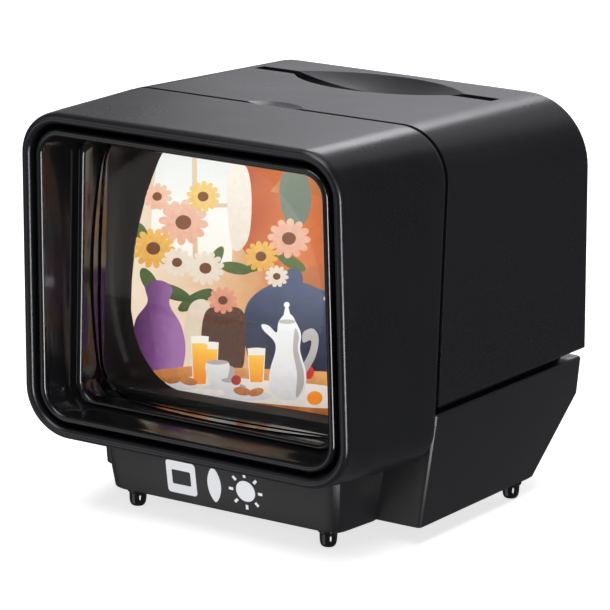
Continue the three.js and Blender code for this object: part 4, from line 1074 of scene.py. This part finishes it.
MX, MZ = -1.4, 8.7
marks = [stamp(rrect(MX - 7.2, MZ, 3.3, 3.3, 0.7), rrect(MX - 7.2, MZ, 2.1, 1.45, 0.25)),
         stamp([(MX + 0.2 + 1.5 * math.cos(math.radians(t)) * (abs(math.cos(math.radians(t))) ** 0.5), MZ + 3.6 * math.sin(math.radians(t))) for t in range(0, 360, 8)]),
         stamp([(MX + 7.2 + 2.1 * math.cos(math.radians(t)), MZ + 2.1 * math.sin(math.radians(t))) for t in range(0, 360, 10)])]
for t in range(0, 360, 45):
    c_, s_ = math.cos(math.radians(t)), math.sin(math.radians(t))
    marks.append(stamp([(MX + 7.2 + c_ * a - s_ * b, MZ + s_ * a + c_ * b) for a, b in ((2.75, -0.28), (3.7, -0.28), (3.7, 0.28), (2.75, 0.28))]))
vs, fs = [], []
for v_, f_ in marks:
    k = len(vs)
    vs += v_
    fs += [tuple(i + k for i in q) for q in f_]
me = mesh_from("neck_pictogram", vs, fs)
tidy(me, 30)
add("neck_pictogram", me, M_MARK, "housing", slot="opal_white")

# --------------------------------------------------------------------------
# stage, light
# --------------------------------------------------------------------------
def stage_floor():
    me = bpy.data.meshes.new("floor")
    q = 6
    me.from_pydata([(-q, -q, -0.00002), (q, -q, -0.00002), (q, q, -0.00002), (-q, q, -0.00002)], [], [(0, 1, 2, 3)])
    o = bpy.data.objects.new("floor", me)
    SCN.collection.objects.link(o)
    mt, nt, bs = new_mat("pale_floor")
    v = coords(nt)
    n = tex_noise(nt, v, 30, 2)
    nt.links.new(ramp(nt, n, [(0.0, (0.80, 0.80, 0.80)), (1.0, (0.84, 0.84, 0.84))]), bs.inputs["Base Color"])
    bs.inputs["Roughness"].default_value = 0.9
    bs.inputs["Specular IOR Level"].default_value = 0.1
    bs.inputs["Emission Color"].default_value = (1, 1, 1, 1)
    bs.inputs["Emission Strength"].default_value = 0.72
    o.visible_glossy = False
    me.materials.append(mt)


stage_floor()
w = bpy.data.worlds.new("studio")
SCN.world = w
w.use_nodes = True
bg = w.node_tree.nodes["Background"]
bg.inputs[0].default_value = (0.94, 0.95, 1.0, 1)
bg.inputs[1].default_value = 0.12


def softbox(name, direction, dist, size, radiance, aim=(0, 0, 0.04), colour=(1, 1, 1)):
    ld = bpy.data.lights.new(name, "AREA")
    ld.shape = "RECTANGLE"
    ld.size, ld.size_y = size
    ld.energy = radiance * math.pi * size[0] * size[1]
    ld.color = colour
    o = bpy.data.objects.new(name, ld)
    SCN.collection.objects.link(o)
    az, el = (math.radians(v) for v in direction)
    v = Vector((math.sin(az) * math.cos(el), math.cos(az) * math.cos(el), math.sin(el)))
    o.location = Vector(aim) + v * dist
    o.rotation_euler = (-v).to_track_quat("-Z", "Y").to_euler()
    return o


# directions: azimuth from straight behind the object, clockwise; elevation
softbox("back_low_soft", (-12, 12), 2.6, (2.2, 1.0), 0.52, colour=(0.95, 0.94, 1.0))
softbox("back_left_soft", (-58, 13), 2.6, (1.9, 1.1), 0.26, colour=(0.95, 0.94, 1.0))
softbox("back_edge_soft", (-23, 29), 2.6, (0.7, 0.5), 5.2, colour=(0.96, 0.96, 1.0))
softbox("back_high_soft", (4, 38), 2.6, (1.4, 1.0), 0.40)
softbox("right_soft", (124, 10), 1.6, (1.2, 0.8), 1.2)
softbox("right_low_strip", (118, -14), 1.5, (0.5, 0.8), 18.0)
softbox("front_top_soft", (166, 58), 2.0, (1.5, 0.8), 4.6)
softbox("top_soft", (0, 88), 2.0, (1.8, 1.8), 2.3)
softbox("front_left_fill", (-150, 12), 2.4, (1.6, 1.4), 0.9)
softbox("front_low_fill", (-146, -34), 1.4, (0.9, 0.7), 0.9)
